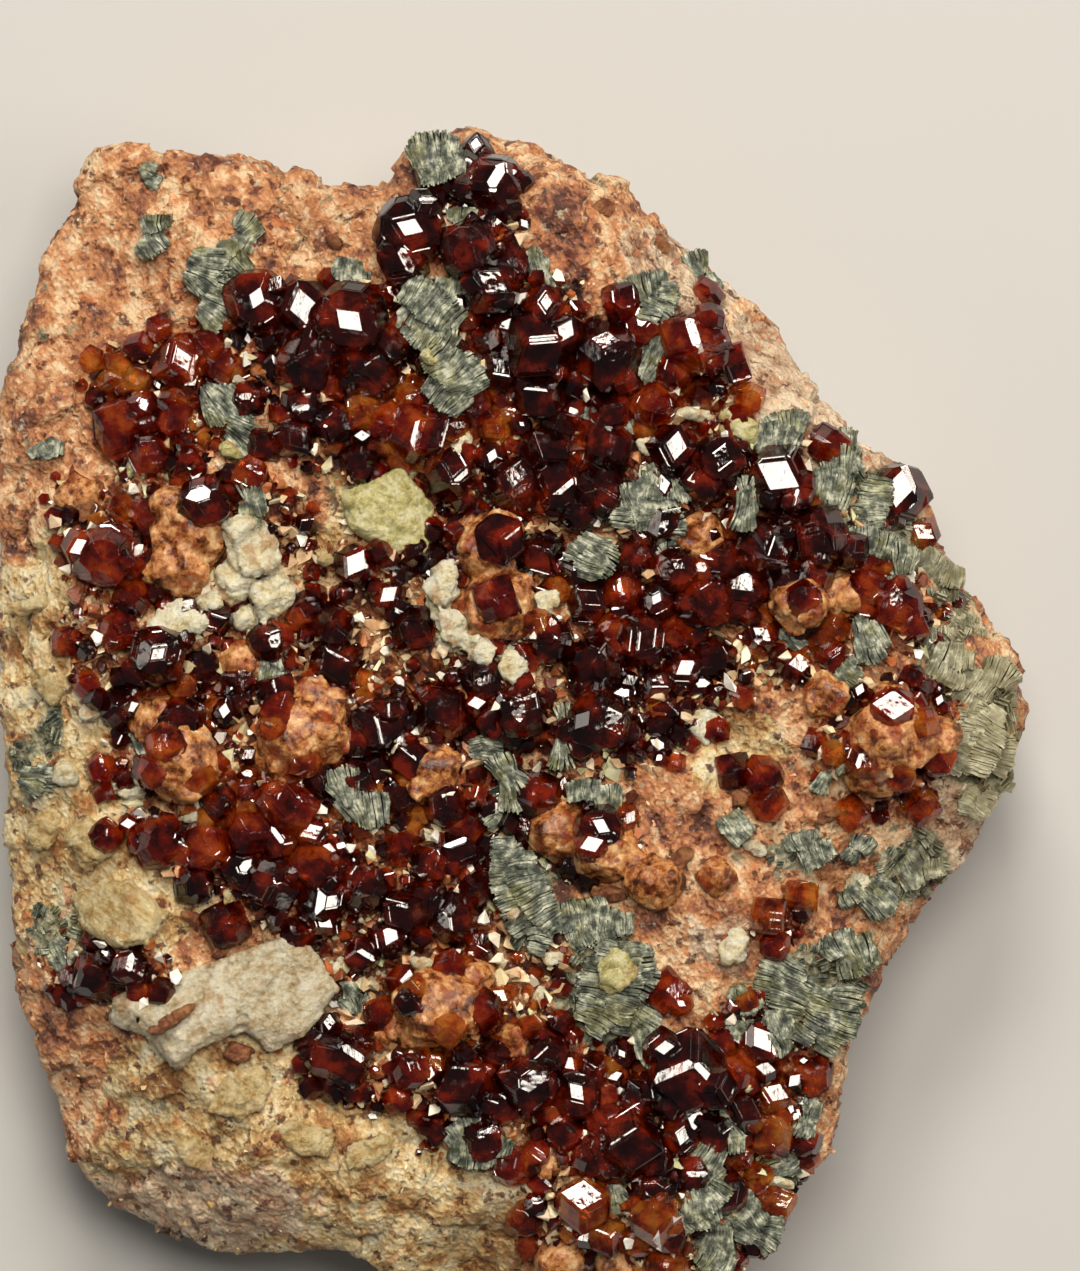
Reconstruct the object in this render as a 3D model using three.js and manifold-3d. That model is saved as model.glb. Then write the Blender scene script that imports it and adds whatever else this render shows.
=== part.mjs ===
// Garnets in matrix: a broken slab of massive orange garnet rock that lies on its flat back. Its upper
// face carries dark red garnet crystals, stacks of grey-green chlorite plates and pale diopside.
// Millimetres, +Z up. The origin is on the resting face, under the middle of the specimen's box.
import * as THREE from "three";
import { ConvexGeometry } from "three/addons/geometries/ConvexGeometry.js";
import { mergeVertices } from "three/addons/utils/BufferGeometryUtils.js";
import Module from "manifold-3d";

const wasm = await Module();
wasm.setup();

// ---- Driving dimensions ----
const faceHeight = 25; // height of the crystal face over the resting face, near the middle
const seatShare = 0.93; // how wide the rock's foot is before it is chipped, as a share of the outline
const touchGap = 0.3; // clear space between one piece and the next
const faceRings = 12; // rings of facets from the middle of the crystal face to its rim
const flankRings = 3; // rings of facets from the rim down to the resting face
const facetJitter = 0.3; // how far a corner of the broken rock strays
const plainBelow = 3.8; // garnets smaller than this show the dodecahedron alone
const faceTilt = 0.16; // how far a crystal that lies face up may lean, in radians
const dodecahedronReach = 0.92; // its faces' distance from the middle, as a share of the radius
const trapezohedronReach = 1.0; // the same for the faces that bevel its edges
const faceStray = 0.025; // how unevenly a crystal's faces have grown, as a share of the radius
const embedding = 0.25; // share of a garnet's radius that its middle stands above the rock
const stackThinning = 0.28; // how much narrower a chlorite stack is at its ends
const stackLift = 0.2; // share of a stack's height that its middle stands above the rock
const sunkDepth = 3; // how far a pale piece reaches down into the rock before it is cut to fit
const pieceBevel = 0.6; // bevel round a pale piece's top

// The swells of the crystal face: the height of each and its number of radians per millimetre.
const swells = [
  { height: 0.65, alongX: 0.21, alongY: 0.17, start: 0.7 },
  { height: 0.55, alongX: 0.16, alongY: -0.2, start: 2.4 },
  { height: 0.5, alongX: 0.62, alongY: -0.35, start: 2.1 },
  { height: 0.45, alongX: 0.3, alongY: 0.71, start: 1.6 },
];

// The specimen's outline seen from above, anticlockwise from its right-hand corner.
const outline = [
  [43.4, -0.6], [41.6, 5.2], [39.2, 10.4], [35.8, 16.0], [34.6, 19.2], [31.6, 20.4], [26.6, 26.2],
  [23.6, 31.8], [18.2, 37.0], [12.6, 39.6], [9.2, 44.6], [2.8, 46.4], [-1.8, 49.0], [-7.6, 47.6],
  [-13.4, 42.2], [-18.6, 45.2], [-25.4, 46.9], [-33.0, 47.8], [-36.2, 43.4], [-39.6, 38.2], [-40.4, 33.0],
  [-43.4, 22.0], [-43.6, 16.0], [-42.6, 12.6], [-43.5, 8.4], [-43.5, 2.0], [-42.6, -12.0], [-41.6, -25.0],
  [-41.0, -31.0], [-36.6, -39.6], [-33.6, -43.2], [-25.2, -45.2], [-21.6, -46.6], [-13.0, -46.4],
  [-8.6, -49.0], [-3.0, -50.8], [4.0, -51.6], [12.0, -51.4], [19.0, -50.4], [24.2, -48.0], [27.4, -38.0],
  [27.8, -32.6], [31.0, -25.2], [34.8, -17.4], [37.8, -14.6], [42.0, -7.2],
];

// The fracture faces that bevel the crystal face towards its rim: the way each falls in degrees, how far
// from the middle it starts and how steeply it drops.
const bevels = [
  { towards: 47, start: 34.0, slope: 1.7 },
  { towards: 12, start: 33.0, slope: 1.1 },
  { towards: -24, start: 29.0, slope: 0.6 },
  { towards: 88, start: 42.0, slope: 1.0 },
  { towards: 128, start: 31.0, slope: 0.3 },
  { towards: 172, start: 35.5, slope: 0.65 },
  { towards: 205, start: 37.0, slope: 0.9 },
  { towards: 242, start: 43.5, slope: 1.25 },
  { towards: 272, start: 43.0, slope: 0.95 },
];

// The chips knocked off the flanks: the way each faces, how far its face leans in under the rim, both in
// degrees, and the height at which it meets the flank.
const chips = [
  { towards: 8, lean: 34, height: 13 },
  { towards: 38, lean: 22, height: 9 },
  { towards: 66, lean: 30, height: 15 },
  { towards: 100, lean: 26, height: 14 },
  { towards: 131, lean: 18, height: 17 },
  { towards: 160, lean: 33, height: 11 },
  { towards: 193, lean: 24, height: 14 },
  { towards: 226, lean: 29, height: 12 },
  { towards: 262, lean: 36, height: 10 },
  { towards: 296, lean: 23, height: 15 },
  { towards: 328, lean: 31, height: 12 },
];

// Garnets that have grown together, as [x, y, radius] of each crystal. A fourth value of 1 marks a
// crystal that lies with one of its faces up.
const garnets = {
  garnet_crown: [[-1.3, 43.6, 3.1, 1], [-2.6, 46.7, 1.6]],
  garnet_shoulder: [[-8.4, 39.4, 3.6, 1], [-3.2, 38.0, 2.7], [-1.4, 35.0, 2.4, 1]],
  garnet_west_cluster: [
    [-21.0, 33.2, 3.2, 1], [-17.4, 33.4, 3.0], [-14.0, 31.6, 3.8], [-17.0, 28.2, 3.0], [-11.6, 28.0, 2.8],
  ],
  garnet_flash_west: [[-27.6, 28.6, 2.5, 1], [-24.4, 28.3, 1.7]],
  garnet_ember_west: [[-33.2, 28.4, 1.7], [-31.4, 26.9, 1.8]],
  garnet_capped_west: [[-32.4, 23.4, 3.2], [-28.6, 24.0, 2.5], [-30.4, 20.6, 2.1]],
  garnet_star_cluster: [[3.0, 30.6, 4.0, 1], [3.2, 34.4, 2.1, 1], [2.2, 25.8, 2.4, 1], [8.6, 29.0, 3.6]],
  garnet_northeast: [[15.6, 30.0, 3.6], [18.4, 28.4, 2.1], [16.6, 34.0, 1.9]],
  garnet_kite: [[4.6, 17.6, 3.5, 1], [7.9, 18.0, 2.8]],
  garnet_twin_east: [[17.8, 20.2, 2.4], [14.6, 20.8, 2.4]],
  garnet_flash_east: [[22.9, 18.4, 3.2, 1]],
  garnet_rim_dark: [[32.9, 17.6, 2.8]],
  garnet_dark_east: [[21.4, 12.4, 3.4], [26.4, 14.2, 2.8], [20.0, 8.6, 2.6], [16.6, 8.6, 2.8]],
  garnet_red_east: [[32.8, 8.0, 2.8]],
  garnet_flash_centre: [[15.0, 2.4, 2.1, 1], [12.6, 1.2, 1.7]],
  garnet_centre: [[7.4, 3.0, 3.2], [7.4, -1.8, 3.1], [10.6, 5.0, 2.4]],
  garnet_row_centre: [[1.0, -0.8, 2.3], [-2.4, 1.8, 2.2], [-5.2, -0.9, 2.6]],
  garnet_flash_heart: [[-10.2, 8.4, 2.1, 1], [-8.4, 6.0, 2.3]],
  garnet_red_west: [[-34.2, 12.2, 2.9]],
  garnet_red_south: [[-18.2, -9.4, 2.7], [-21.8, -11.2, 2.8]],
  garnet_dark_southwest: [[-29.4, -12.0, 2.6]],
  garnet_dark_south: [[-4.4, -12.0, 2.2], [-5.6, -8.6, 2.1]],
  garnet_south_seam: [[-16.1, -17.0, 2.7, 1], [-19.6, -15.6, 2.6], [-12.2, -15.8, 2.4]],
  garnet_dark_bottomwest: [[-14.4, -30.0, 2.9]],
  garnet_bottom_cluster: [[-4.0, -32.5, 3.0], [1.6, -32.4, 3.0], [6.0, -33.4, 2.7]],
  garnet_giant_bottom: [[14.8, -31.6, 4.4, 1]],
  garnet_black_bottom: [[10.0, -37.6, 3.2]],
  garnet_flash_bottom: [[13.6, -24.4, 2.0]],
  garnet_amber_bottomeast: [[22.2, -36.8, 2.3], [22.6, -33.6, 1.7, 1]],
  garnet_rim_bottomeast: [[25.6, -32.0, 1.9]],
  garnet_amber_east: [[22.4, -17.8, 2.1], [24.6, -16.6, 1.7]],
  garnet_orange_bottom: [[12.6, -43.4, 2.5]],
};

// Garnets whose faces are etched matt and brown, in the same form.
const etchedGarnets = {
  garnet_rough_east: [[24.8, 8.0, 2.6], [28.4, 9.0, 2.3]],
  garnet_dull_centre: [[-10.6, -2.2, 2.5]],
  garnet_brown_heart: [[-1.6, 12.8, 3.0], [-1.0, 8.6, 3.1]],
  garnet_brown_west: [[-27.0, 15.0, 3.9], [-28.2, 11.4, 2.5]],
  garnet_tablet_west: [[-29.6, 4.0, 2.5]],
  garnet_brown_southwest: [[-28.6, -1.6, 3.1], [-26.6, -5.8, 3.7]],
  garnet_brown_south: [[-17.6, -2.4, 4.0]],
  garnet_brown_bottom: [[-6.2, -25.4, 3.6], [-3.2, -23.2, 1.8]],
  garnet_etched_east: [[32.2, -2.6, 4.4, 1], [36.0, -3.8, 2.3]],
};

// Chlorite stacks: where the stack stands, the way its plates lie on each other in degrees, its length
// along that way, its width across it, its height and how far its middle bows sideways.
const chlorites = {
  chlorite_crest: { at: [-6.0, 45.4], turn: 10, length: 4.4, width: 4.8, height: 5.0, bow: 0.5 },
  chlorite_fan_upper: { at: [-6.8, 32.6], turn: -28, length: 6.4, width: 4.6, height: 4.6, bow: 0.8 },
  chlorite_fan_lower: { at: [-5.2, 27.6], turn: -48, length: 4.8, width: 5.2, height: 4.4, bow: 0.6 },
  chlorite_column_north: { at: [12.0, 31.6], turn: 78, length: 7.2, width: 2.6, height: 4.2, bow: 0.6 },
  chlorite_ribbon_west: { at: [-23.4, 24.2], turn: 48, length: 3.4, width: 7.0, height: 3.6, bow: 0.3 },
  chlorite_block_centre: { at: [12.0, 16.8], turn: 12, length: 4.6, width: 5.2, height: 4.4, bow: 0.4 },
  chlorite_bun_centre: { at: [7.0, 12.0], turn: 58, length: 3.0, width: 4.2, height: 4.0, bow: 0.3 },
  chlorite_wave_south: { at: [0.9, -15.4], turn: -68, length: 10.6, width: 3.8, height: 4.4, bow: 1.2 },
  chlorite_mass_south: { at: [8.8, -23.6], turn: 75, length: 8.0, width: 5.0, height: 4.2, bow: 0.9 },
  chlorite_rim_east: { at: [39.4, -4.6], turn: 60, length: 5.2, width: 5.2, height: 4.6, bow: 0.6 },
};

// Diopside pieces, as outlines seen from above and the height that each stands over the rock.
const diopsides = {
  diopside_blade: {
    rise: 2.6,
    outline: [[-34.0, -27.2], [-33.6, -25.2], [-19.6, -20.2], [-17.4, -20.2], [-14.6, -24.4], [-17.4, -28.4],
      [-20.2, -29.6], [-22.6, -27.8], [-26.6, -29.6], [-28.2, -31.2], [-30.4, -28.6]],
  },
  diopside_lump: {
    rise: 2.4,
    outline: [[-14.2, 17.4], [-9.2, 19.6], [-6.6, 16.4], [-7.0, 12.4], [-9.0, 11.8], [-13.4, 14.4]],
  },
  diopside_band: {
    rise: 1.6,
    outline: [[-7.0, 9.8], [-5.2, 9.8], [-4.4, 6.4], [1.6, 4.0], [1.6, 1.8], [-4.4, 4.0], [-7.0, 4.8]],
  },
  diopside_bundle: {
    rise: 2.2,
    outline: [[-37.2, -16.8], [-34.4, -15.2], [-32.0, -15.4], [-29.0, -18.0], [-30.6, -20.6], [-33.2, -20.8],
      [-36.0, -19.4]],
  },
};

// ---- Plain geometry helpers ----

// A repeatable number from 0 to 1 for a pair of counts.
function shareOf(i, j) {
  const wave = Math.sin(i * 127.1 + j * 311.7) * 43758.5453;
  return wave - Math.floor(wave);
}

// Turns points and triangles into a manifold solid.
function solidOf(geometry) {
  const bare = new THREE.BufferGeometry();
  bare.setAttribute("position", geometry.getAttribute("position"));
  if (geometry.index) bare.setIndex(geometry.index);
  const merged = mergeVertices(bare, 1e-4);
  return new wasm.Manifold(
    new wasm.Mesh({
      numProp: 3,
      vertProperties: merged.attributes.position.array,
      triVerts: new Uint32Array(merged.index.array),
    }),
  );
}

function geometryOf(solid) {
  const mesh = solid.getMesh();
  const geometry = new THREE.BufferGeometry();
  geometry.setAttribute("position", new THREE.BufferAttribute(new Float32Array(mesh.vertProperties), 3));
  geometry.setIndex(new THREE.BufferAttribute(new Uint32Array(mesh.triVerts), 1));
  return geometry;
}

// How far the polygon's edge is from the middle along the direction angle.
function edgeDistance(points, angle) {
  const dx = Math.cos(angle);
  const dy = Math.sin(angle);
  let found = 0;
  points.forEach(([ax, ay], i) => {
    const [bx, by] = points[(i + 1) % points.length];
    const across = dx * (by - ay) - dy * (bx - ax);
    if (Math.abs(across) < 1e-9) return;
    const along = (ax * (by - ay) - ay * (bx - ax)) / across;
    const share = (ax * dy - ay * dx) / across;
    if (along > 0 && share >= -1e-9 && share <= 1 + 1e-9) found = Math.max(found, along);
  });
  return found;
}

// ---- The rock ----

// Height of the crystal face at a place: a gently lumpy plane, cut down by the steepest of the bevels.
function faceAt(x, y) {
  let drop = 0;
  for (const { towards, start, slope } of bevels) {
    const angle = THREE.MathUtils.degToRad(towards);
    const past = x * Math.cos(angle) + y * Math.sin(angle) - start;
    drop = Math.max(drop, past * slope);
  }
  let lift = 0;
  for (const { height, alongX, alongY, start } of swells) {
    lift += height * Math.sin(alongX * x + alongY * y + start);
  }
  return faceHeight - drop + lift;
}

// The triangles between two rings of points that start at inner and outer and hold few and many points.
function stripBetween(inner, few, outer, many) {
  const faces = [];
  let i = 0;
  let j = 0;
  while (i < few || j < many) {
    const [a, b] = [inner + (i % few), outer + (j % many)];
    if (j < many && (j + 0.5) / many <= (i + 0.5) / few) {
      faces.push(a, b, outer + ((j + 1) % many));
      j += 1;
    } else {
      faces.push(a, b, inner + ((i + 1) % few));
      i += 1;
    }
  }
  return faces;
}

// The unchipped rock as one closed solid. grow lifts its upper face and pushes its outline out.
function blockSolid(grow) {
  const places = [0, 0, faceAt(0, 0) + grow];
  const faces = [];
  let before = { first: 0, count: 1 };

  const addRing = (count, placeOf) => {
    const ring = { first: places.length / 3, count };
    for (let k = 0; k < count; k += 1) {
      const angle = (k / count) * 2 * Math.PI;
      const [radius, height] = placeOf(k, edgeDistance(outline, angle), angle);
      places.push(radius * Math.cos(angle), radius * Math.sin(angle), height);
    }
    faces.push(...stripBetween(before.first, before.count, ring.first, count));
    before = ring;
  };

  for (let ring = 1; ring <= faceRings; ring += 1) {
    const share = ring / faceRings;
    addRing(6 * ring, (k, rim, angle) => {
      const radius = rim * share;
      const height = faceAt(radius * Math.cos(angle), radius * Math.sin(angle));
      return [radius + grow * share, height + (shareOf(k, ring) - 0.5) * 2 * facetJitter + grow];
    });
  }
  for (let ring = 1; ring <= flankRings; ring += 1) {
    const share = ring / flankRings;
    addRing(6 * faceRings, (k, rim, angle) => {
      const rimHeight = faceAt(rim * Math.cos(angle), rim * Math.sin(angle));
      const stray = (shareOf(k, faceRings + ring) - 0.5) * 2 * facetJitter;
      const radius = rim * THREE.MathUtils.lerp(1, seatShare, share) + stray;
      return [radius + grow, (rimHeight + grow) * (1 - share)];
    });
  }
  const base = places.length / 3;
  places.push(0, 0, 0);
  for (let k = 0; k < before.count; k += 1) {
    faces.push(before.first + k, base, before.first + ((k + 1) % before.count));
  }

  const geometry = new THREE.BufferGeometry();
  geometry.setAttribute("position", new THREE.Float32BufferAttribute(places, 3));
  geometry.setIndex(faces.filter((corner, at) => notFolded(faces, at)));
  return solidOf(geometry);
}

// Whether the triangle that the corner at this count belongs to has three different corners.
function notFolded(faces, at) {
  const [a, b, c] = faces.slice(at - (at % 3), at - (at % 3) + 3);
  return a !== b && b !== c && c !== a;
}

// A block whose near face is the chip's fracture face, and which covers all that lies beyond it.
function chipSolid({ towards, lean, height }) {
  const angle = THREE.MathUtils.degToRad(towards);
  const size = 3 * faceHeight;
  const block = new THREE.BoxGeometry(size, 2 * size, 2 * size);
  block.translate(size / 2, 0, 0);
  block.rotateY(THREE.MathUtils.degToRad(lean));
  block.translate(edgeDistance(outline, angle), 0, height);
  block.rotateZ(angle);
  return solidOf(block);
}

function rockSolid() {
  return blockSolid(0).subtract(wasm.Manifold.union(chips.map(chipSolid)));
}

// ---- Garnet crystals ----

// Corners of the solid that lies behind all the planes, each a normal and a distance.
function cornersBehind(planes) {
  const corners = [];
  const row = new THREE.Matrix3();
  for (let i = 0; i < planes.length; i += 1) {
    for (let j = i + 1; j < planes.length; j += 1) {
      for (let k = j + 1; k < planes.length; k += 1) {
        const [a, b, c] = [planes[i].normal, planes[j].normal, planes[k].normal];
        row.set(a.x, a.y, a.z, b.x, b.y, b.z, c.x, c.y, c.z);
        if (Math.abs(row.determinant()) < 1e-6) continue;
        const distances = new THREE.Vector3(planes[i].distance, planes[j].distance, planes[k].distance);
        const corner = distances.applyMatrix3(row.invert());
        if (planes.every((p) => p.normal.dot(corner) < p.distance + 1e-6)) corners.push(corner);
      }
    }
  }
  return corners;
}

// Twelve dodecahedron faces and, on a large crystal, the twenty-four trapezohedron faces that bevel its
// edges. grow pushes each face out by that much.
function garnetPlanes(radius, seed, grow) {
  const planes = [];
  const add = (x, y, z, share) => {
    const stray = 1 + (2 * shareOf(seed, planes.length) - 1) * faceStray;
    const distance = radius * share * stray + grow;
    planes.push({ normal: new THREE.Vector3(x, y, z).normalize(), distance });
  };
  const signs = [-1, 1];
  for (const a of signs) {
    for (const b of signs) {
      add(a, b, 0, dodecahedronReach);
      add(a, 0, b, dodecahedronReach);
      add(0, a, b, dodecahedronReach);
      if (radius < plainBelow) continue;
      for (const c of signs) {
        add(2 * a, b, c, trapezohedronReach);
        add(a, 2 * b, c, trapezohedronReach);
        add(a, b, 2 * c, trapezohedronReach);
      }
    }
  }
  return planes;
}

// How a crystal is turned. One that lies face up has its (1, 1, 0) face within a small lean of level.
function garnetTurn(seed, faceUp) {
  const spin = shareOf(seed, 2) * 2 * Math.PI;
  if (!faceUp) {
    const tumble = new THREE.Euler(shareOf(seed, 1) * Math.PI, spin, shareOf(seed, 3) * Math.PI);
    return new THREE.Matrix4().makeRotationFromEuler(tumble);
  }
  const up = new THREE.Vector3(0, 0, 1);
  const lift = new THREE.Quaternion().setFromUnitVectors(new THREE.Vector3(1, 1, 0).normalize(), up);
  const lean = [shareOf(seed, 1), shareOf(seed, 3)].map((share) => (2 * share - 1) * faceTilt);
  const turn = new THREE.Matrix4().makeRotationFromEuler(new THREE.Euler(...lean, spin));
  return turn.multiply(new THREE.Matrix4().makeRotationFromQuaternion(lift));
}

function garnetSolid([x, y, radius, faceUp = 0], seed, grow) {
  const shape = new ConvexGeometry(cornersBehind(garnetPlanes(radius, seed, grow)));
  shape.applyMatrix4(garnetTurn(seed, faceUp));
  shape.translate(x, y, faceAt(x, y) + embedding * radius);
  return solidOf(shape);
}

// ---- Chlorite stacks and diopside ----

// A bowed bundle of plates on edge, as one closed six-sided solid that thins towards its ends.
function stackSolid(stack, grow) {
  const sides = 6;
  const corners = [];
  for (let k = 0; k < sides; k += 1) {
    const angle = ((k + 0.5) / sides) * 2 * Math.PI;
    const across = (stack.width / 2 + grow) * Math.cos(angle);
    corners.push(new THREE.Vector2(across, (stack.height / 2 + grow) * Math.sin(angle)));
  }
  const half = stack.length / 2 + grow;
  const plate = new THREE.Shape(corners);
  const shape = new THREE.ExtrudeGeometry(plate, { depth: 2 * half, steps: 3, bevelEnabled: false });
  shape.translate(0, 0, -half);
  const place = shape.getAttribute("position");
  for (let i = 0; i < place.count; i += 1) {
    const along = place.getZ(i) / half;
    const swell = 1 - stackThinning * along * along;
    const across = place.getX(i) * swell + stack.bow * (1 - along * along);
    place.setXYZ(i, place.getZ(i), across, place.getY(i) * swell);
  }
  shape.rotateZ(THREE.MathUtils.degToRad(stack.turn));
  shape.translate(stack.at[0], stack.at[1], faceAt(...stack.at) + stack.height * stackLift);
  return solidOf(shape);
}

// A piece with a bevelled edge, whose top keeps an even height over the rock under it.
function pieceSolid({ rise, outline: edge }, grow) {
  const shape = new THREE.Shape(edge.map(([x, y]) => new THREE.Vector2(x, y)));
  const geometry = new THREE.ExtrudeGeometry(shape, {
    depth: rise + sunkDepth - 2 * pieceBevel,
    bevelThickness: pieceBevel,
    bevelSize: pieceBevel,
    bevelOffset: grow - pieceBevel,
    bevelSegments: 1,
  });
  const place = geometry.getAttribute("position");
  for (let i = 0; i < place.count; i += 1) {
    const lift = faceAt(place.getX(i), place.getY(i)) - sunkDepth + pieceBevel + grow;
    place.setZ(i, place.getZ(i) + lift);
  }
  return solidOf(geometry);
}

// ---- Assembly ----

const stoneColours = {
  rock: new THREE.MeshStandardMaterial({ color: 0xc08a62, roughness: 0.9, metalness: 0 }),
  garnet: new THREE.MeshStandardMaterial({ color: 0x5a1208, roughness: 0.12, metalness: 0 }),
  etched: new THREE.MeshStandardMaterial({ color: 0x84543a, roughness: 0.6, metalness: 0 }),
  chlorite: new THREE.MeshStandardMaterial({ color: 0x7d8c7c, roughness: 0.5, metalness: 0 }),
  diopside: new THREE.MeshStandardMaterial({ color: 0xcfc7ac, roughness: 0.75, metalness: 0 }),
};

// The group stands so that the middle of the outline's box is over the origin.
const specimen = new THREE.Group();
const plan = new THREE.Box2().setFromPoints(outline.map(([x, y]) => new THREE.Vector2(x, y)));
const middle = plan.getCenter(new THREE.Vector2());
specimen.position.set(-middle.x, -middle.y, 0);

const raisedRock = blockSolid(touchGap);
const placed = [];

// What is left of a solid outside the rock and the pieces placed before it, as one body.
function fitted(solid) {
  let rest = solid.subtract(raisedRock);
  for (const other of placed) rest = rest.subtract(other);
  const bodies = rest.decompose();
  return bodies.sort((a, b) => b.volume() - a.volume())[0];
}

function addPiece(name, makeSolid, material) {
  const mesh = new THREE.Mesh(geometryOf(fitted(makeSolid(0))), material);
  mesh.name = name;
  specimen.add(mesh);
  placed.push(makeSolid(touchGap));
}

const rock = new THREE.Mesh(geometryOf(rockSolid()), stoneColours.rock);
rock.name = "matrix_rock";
specimen.add(rock);

let seed = 0;
const addGarnets = (clusters, material) => {
  for (const [name, crystals] of Object.entries(clusters)) {
    const firstSeed = seed;
    const cluster = (grow) =>
      wasm.Manifold.union(crystals.map((crystal, i) => garnetSolid(crystal, firstSeed + i, grow)));
    addPiece(name, cluster, material);
    seed += crystals.length;
  }
};
addGarnets(garnets, stoneColours.garnet);
addGarnets(etchedGarnets, stoneColours.etched);
for (const [name, stack] of Object.entries(chlorites)) {
  addPiece(name, (grow) => stackSolid(stack, grow), stoneColours.chlorite);
}
for (const [name, piece] of Object.entries(diopsides)) {
  addPiece(name, (grow) => pieceSolid(piece, grow), stoneColours.diopside);
}

export default specimen;
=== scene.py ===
import itertools
import math
import random
import bmesh
import bpy
import numpy as np
from mathutils import Euler, Matrix, Vector, noise
from mathutils.bvhtree import BVHTree


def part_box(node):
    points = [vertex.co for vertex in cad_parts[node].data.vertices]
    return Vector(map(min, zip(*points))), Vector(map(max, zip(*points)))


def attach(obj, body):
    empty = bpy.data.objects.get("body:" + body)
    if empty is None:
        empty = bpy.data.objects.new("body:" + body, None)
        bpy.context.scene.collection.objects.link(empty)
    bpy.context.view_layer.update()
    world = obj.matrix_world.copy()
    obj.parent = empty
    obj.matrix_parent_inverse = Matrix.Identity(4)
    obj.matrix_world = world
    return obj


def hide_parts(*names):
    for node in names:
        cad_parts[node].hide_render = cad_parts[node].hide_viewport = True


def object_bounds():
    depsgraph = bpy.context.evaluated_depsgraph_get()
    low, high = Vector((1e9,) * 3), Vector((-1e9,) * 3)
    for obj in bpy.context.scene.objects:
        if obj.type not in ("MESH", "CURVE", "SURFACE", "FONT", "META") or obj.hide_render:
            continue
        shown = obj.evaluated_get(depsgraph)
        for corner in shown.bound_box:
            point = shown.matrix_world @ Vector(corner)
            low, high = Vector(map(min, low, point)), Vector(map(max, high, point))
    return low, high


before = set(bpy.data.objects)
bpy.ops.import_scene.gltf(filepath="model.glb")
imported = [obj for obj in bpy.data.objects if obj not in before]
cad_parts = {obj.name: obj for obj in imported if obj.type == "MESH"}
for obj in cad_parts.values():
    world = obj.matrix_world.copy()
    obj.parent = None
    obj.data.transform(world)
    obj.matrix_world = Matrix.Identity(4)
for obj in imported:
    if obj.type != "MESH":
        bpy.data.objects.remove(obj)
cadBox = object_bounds()
mm = 0.001
noise.seed_set(7)  # without a seed the zones' wavering edges differ from run to run


def addObject(name, data):
    made = bpy.data.objects.new(name, data)
    bpy.context.scene.collection.objects.link(made)
    return made


def meshFrom(shape, name):
    # ends a bmesh as a mesh of this name
    mesh = bpy.data.meshes.new(name)
    shape.to_mesh(mesh)
    shape.free()
    return mesh


def mergedCopy(node, name):
    # a copy of a CAD node with its loose triangles sewn together
    sewn = bmesh.new()
    sewn.from_mesh(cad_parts[node].data)
    bmesh.ops.remove_doubles(sewn, verts=sewn.verts, dist=0.002 * mm)
    mesh = meshFrom(sewn, name)
    mesh.materials.clear()
    return addObject(name, mesh)


def settled(source, name):
    # the object with its modifiers worked in, as a plain mesh that takes its place
    depsgraph = bpy.context.evaluated_depsgraph_get()
    mesh = bpy.data.meshes.new_from_object(source.evaluated_get(depsgraph), depsgraph=depsgraph)
    old = source.data
    bpy.data.objects.remove(source)
    if isinstance(old, bpy.types.Mesh):
        bpy.data.meshes.remove(old)
    mesh.name = name
    return addObject(name, mesh)


def voxelMesh(source, size, name):
    # the object as one even mesh, with squares of this size in millimetres
    modifier = source.modifiers.new("remesh", "REMESH")
    modifier.mode = "VOXEL"
    modifier.voxel_size = size * mm
    return settled(source, name)


def joined(pieces, name):
    # several mesh objects as one
    whole = bmesh.new()
    for piece in pieces:
        whole.from_mesh(piece.data)
        bpy.data.objects.remove(piece)
    return addObject(name, meshFrom(whole, name))


def eased(share):
    # a share from 0 to 1 with soft ends
    return share * share * (3.0 - 2.0 * share)


def finishPiece(piece, material, replaced=()):
    piece.data.materials.clear()
    piece.data.materials.append(material)
    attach(piece, "root")
    if replaced:
        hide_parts(*replaced)
    print(piece.name + ":", len(piece.data.polygons), "faces")


def newTree(name, inputs):
    # a Geometry Nodes tree with one geometry in and out, and these named inputs
    tree = bpy.data.node_groups.new(name, "GeometryNodeTree")
    tree.interface.new_socket("Geometry", in_out="INPUT", socket_type="NodeSocketGeometry")
    for label, kind in inputs.items():
        tree.interface.new_socket(label, in_out="INPUT", socket_type="NodeSocket" + kind)
    tree.interface.new_socket("Geometry", in_out="OUTPUT", socket_type="NodeSocketGeometry")
    return tree


def setSocket(tree, socket, value):
    # links a socket to another, or sets its number
    if isinstance(value, bpy.types.NodeSocket):
        tree.links.new(value, socket)
    else:
        socket.default_value = value


def addNode(tree, kind, values=None, **settings):
    # a node with its settings, and with its inputs set to values or linked to sockets
    node = tree.nodes.new(kind)
    for setting, value in settings.items():
        setattr(node, setting, value)
    for label, value in (values or {}).items():
        setSocket(tree, node.inputs[label], value)
    return node


def compute(tree, operation, *values):
    # a Math node on numbers or sockets
    return addNode(tree, "ShaderNodeMath", dict(enumerate(values)), operation=operation).outputs[0]


def swingSocket(tree, base, value, amount, middle=0.5):
    # the base, moved by how far the value lies from its middle
    return compute(tree, "MULTIPLY_ADD", compute(tree, "SUBTRACT", value, middle), amount, base)


def vectorMath(tree, operation, values):
    return addNode(tree, "ShaderNodeVectorMath", values, operation=operation).outputs[0]


def combined(tree, **parts):
    return addNode(tree, "ShaderNodeCombineXYZ", parts).outputs[0]


def partOf(tree, vector, axis):
    return addNode(tree, "ShaderNodeSeparateXYZ", {"Vector": vector}).outputs[axis]


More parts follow.
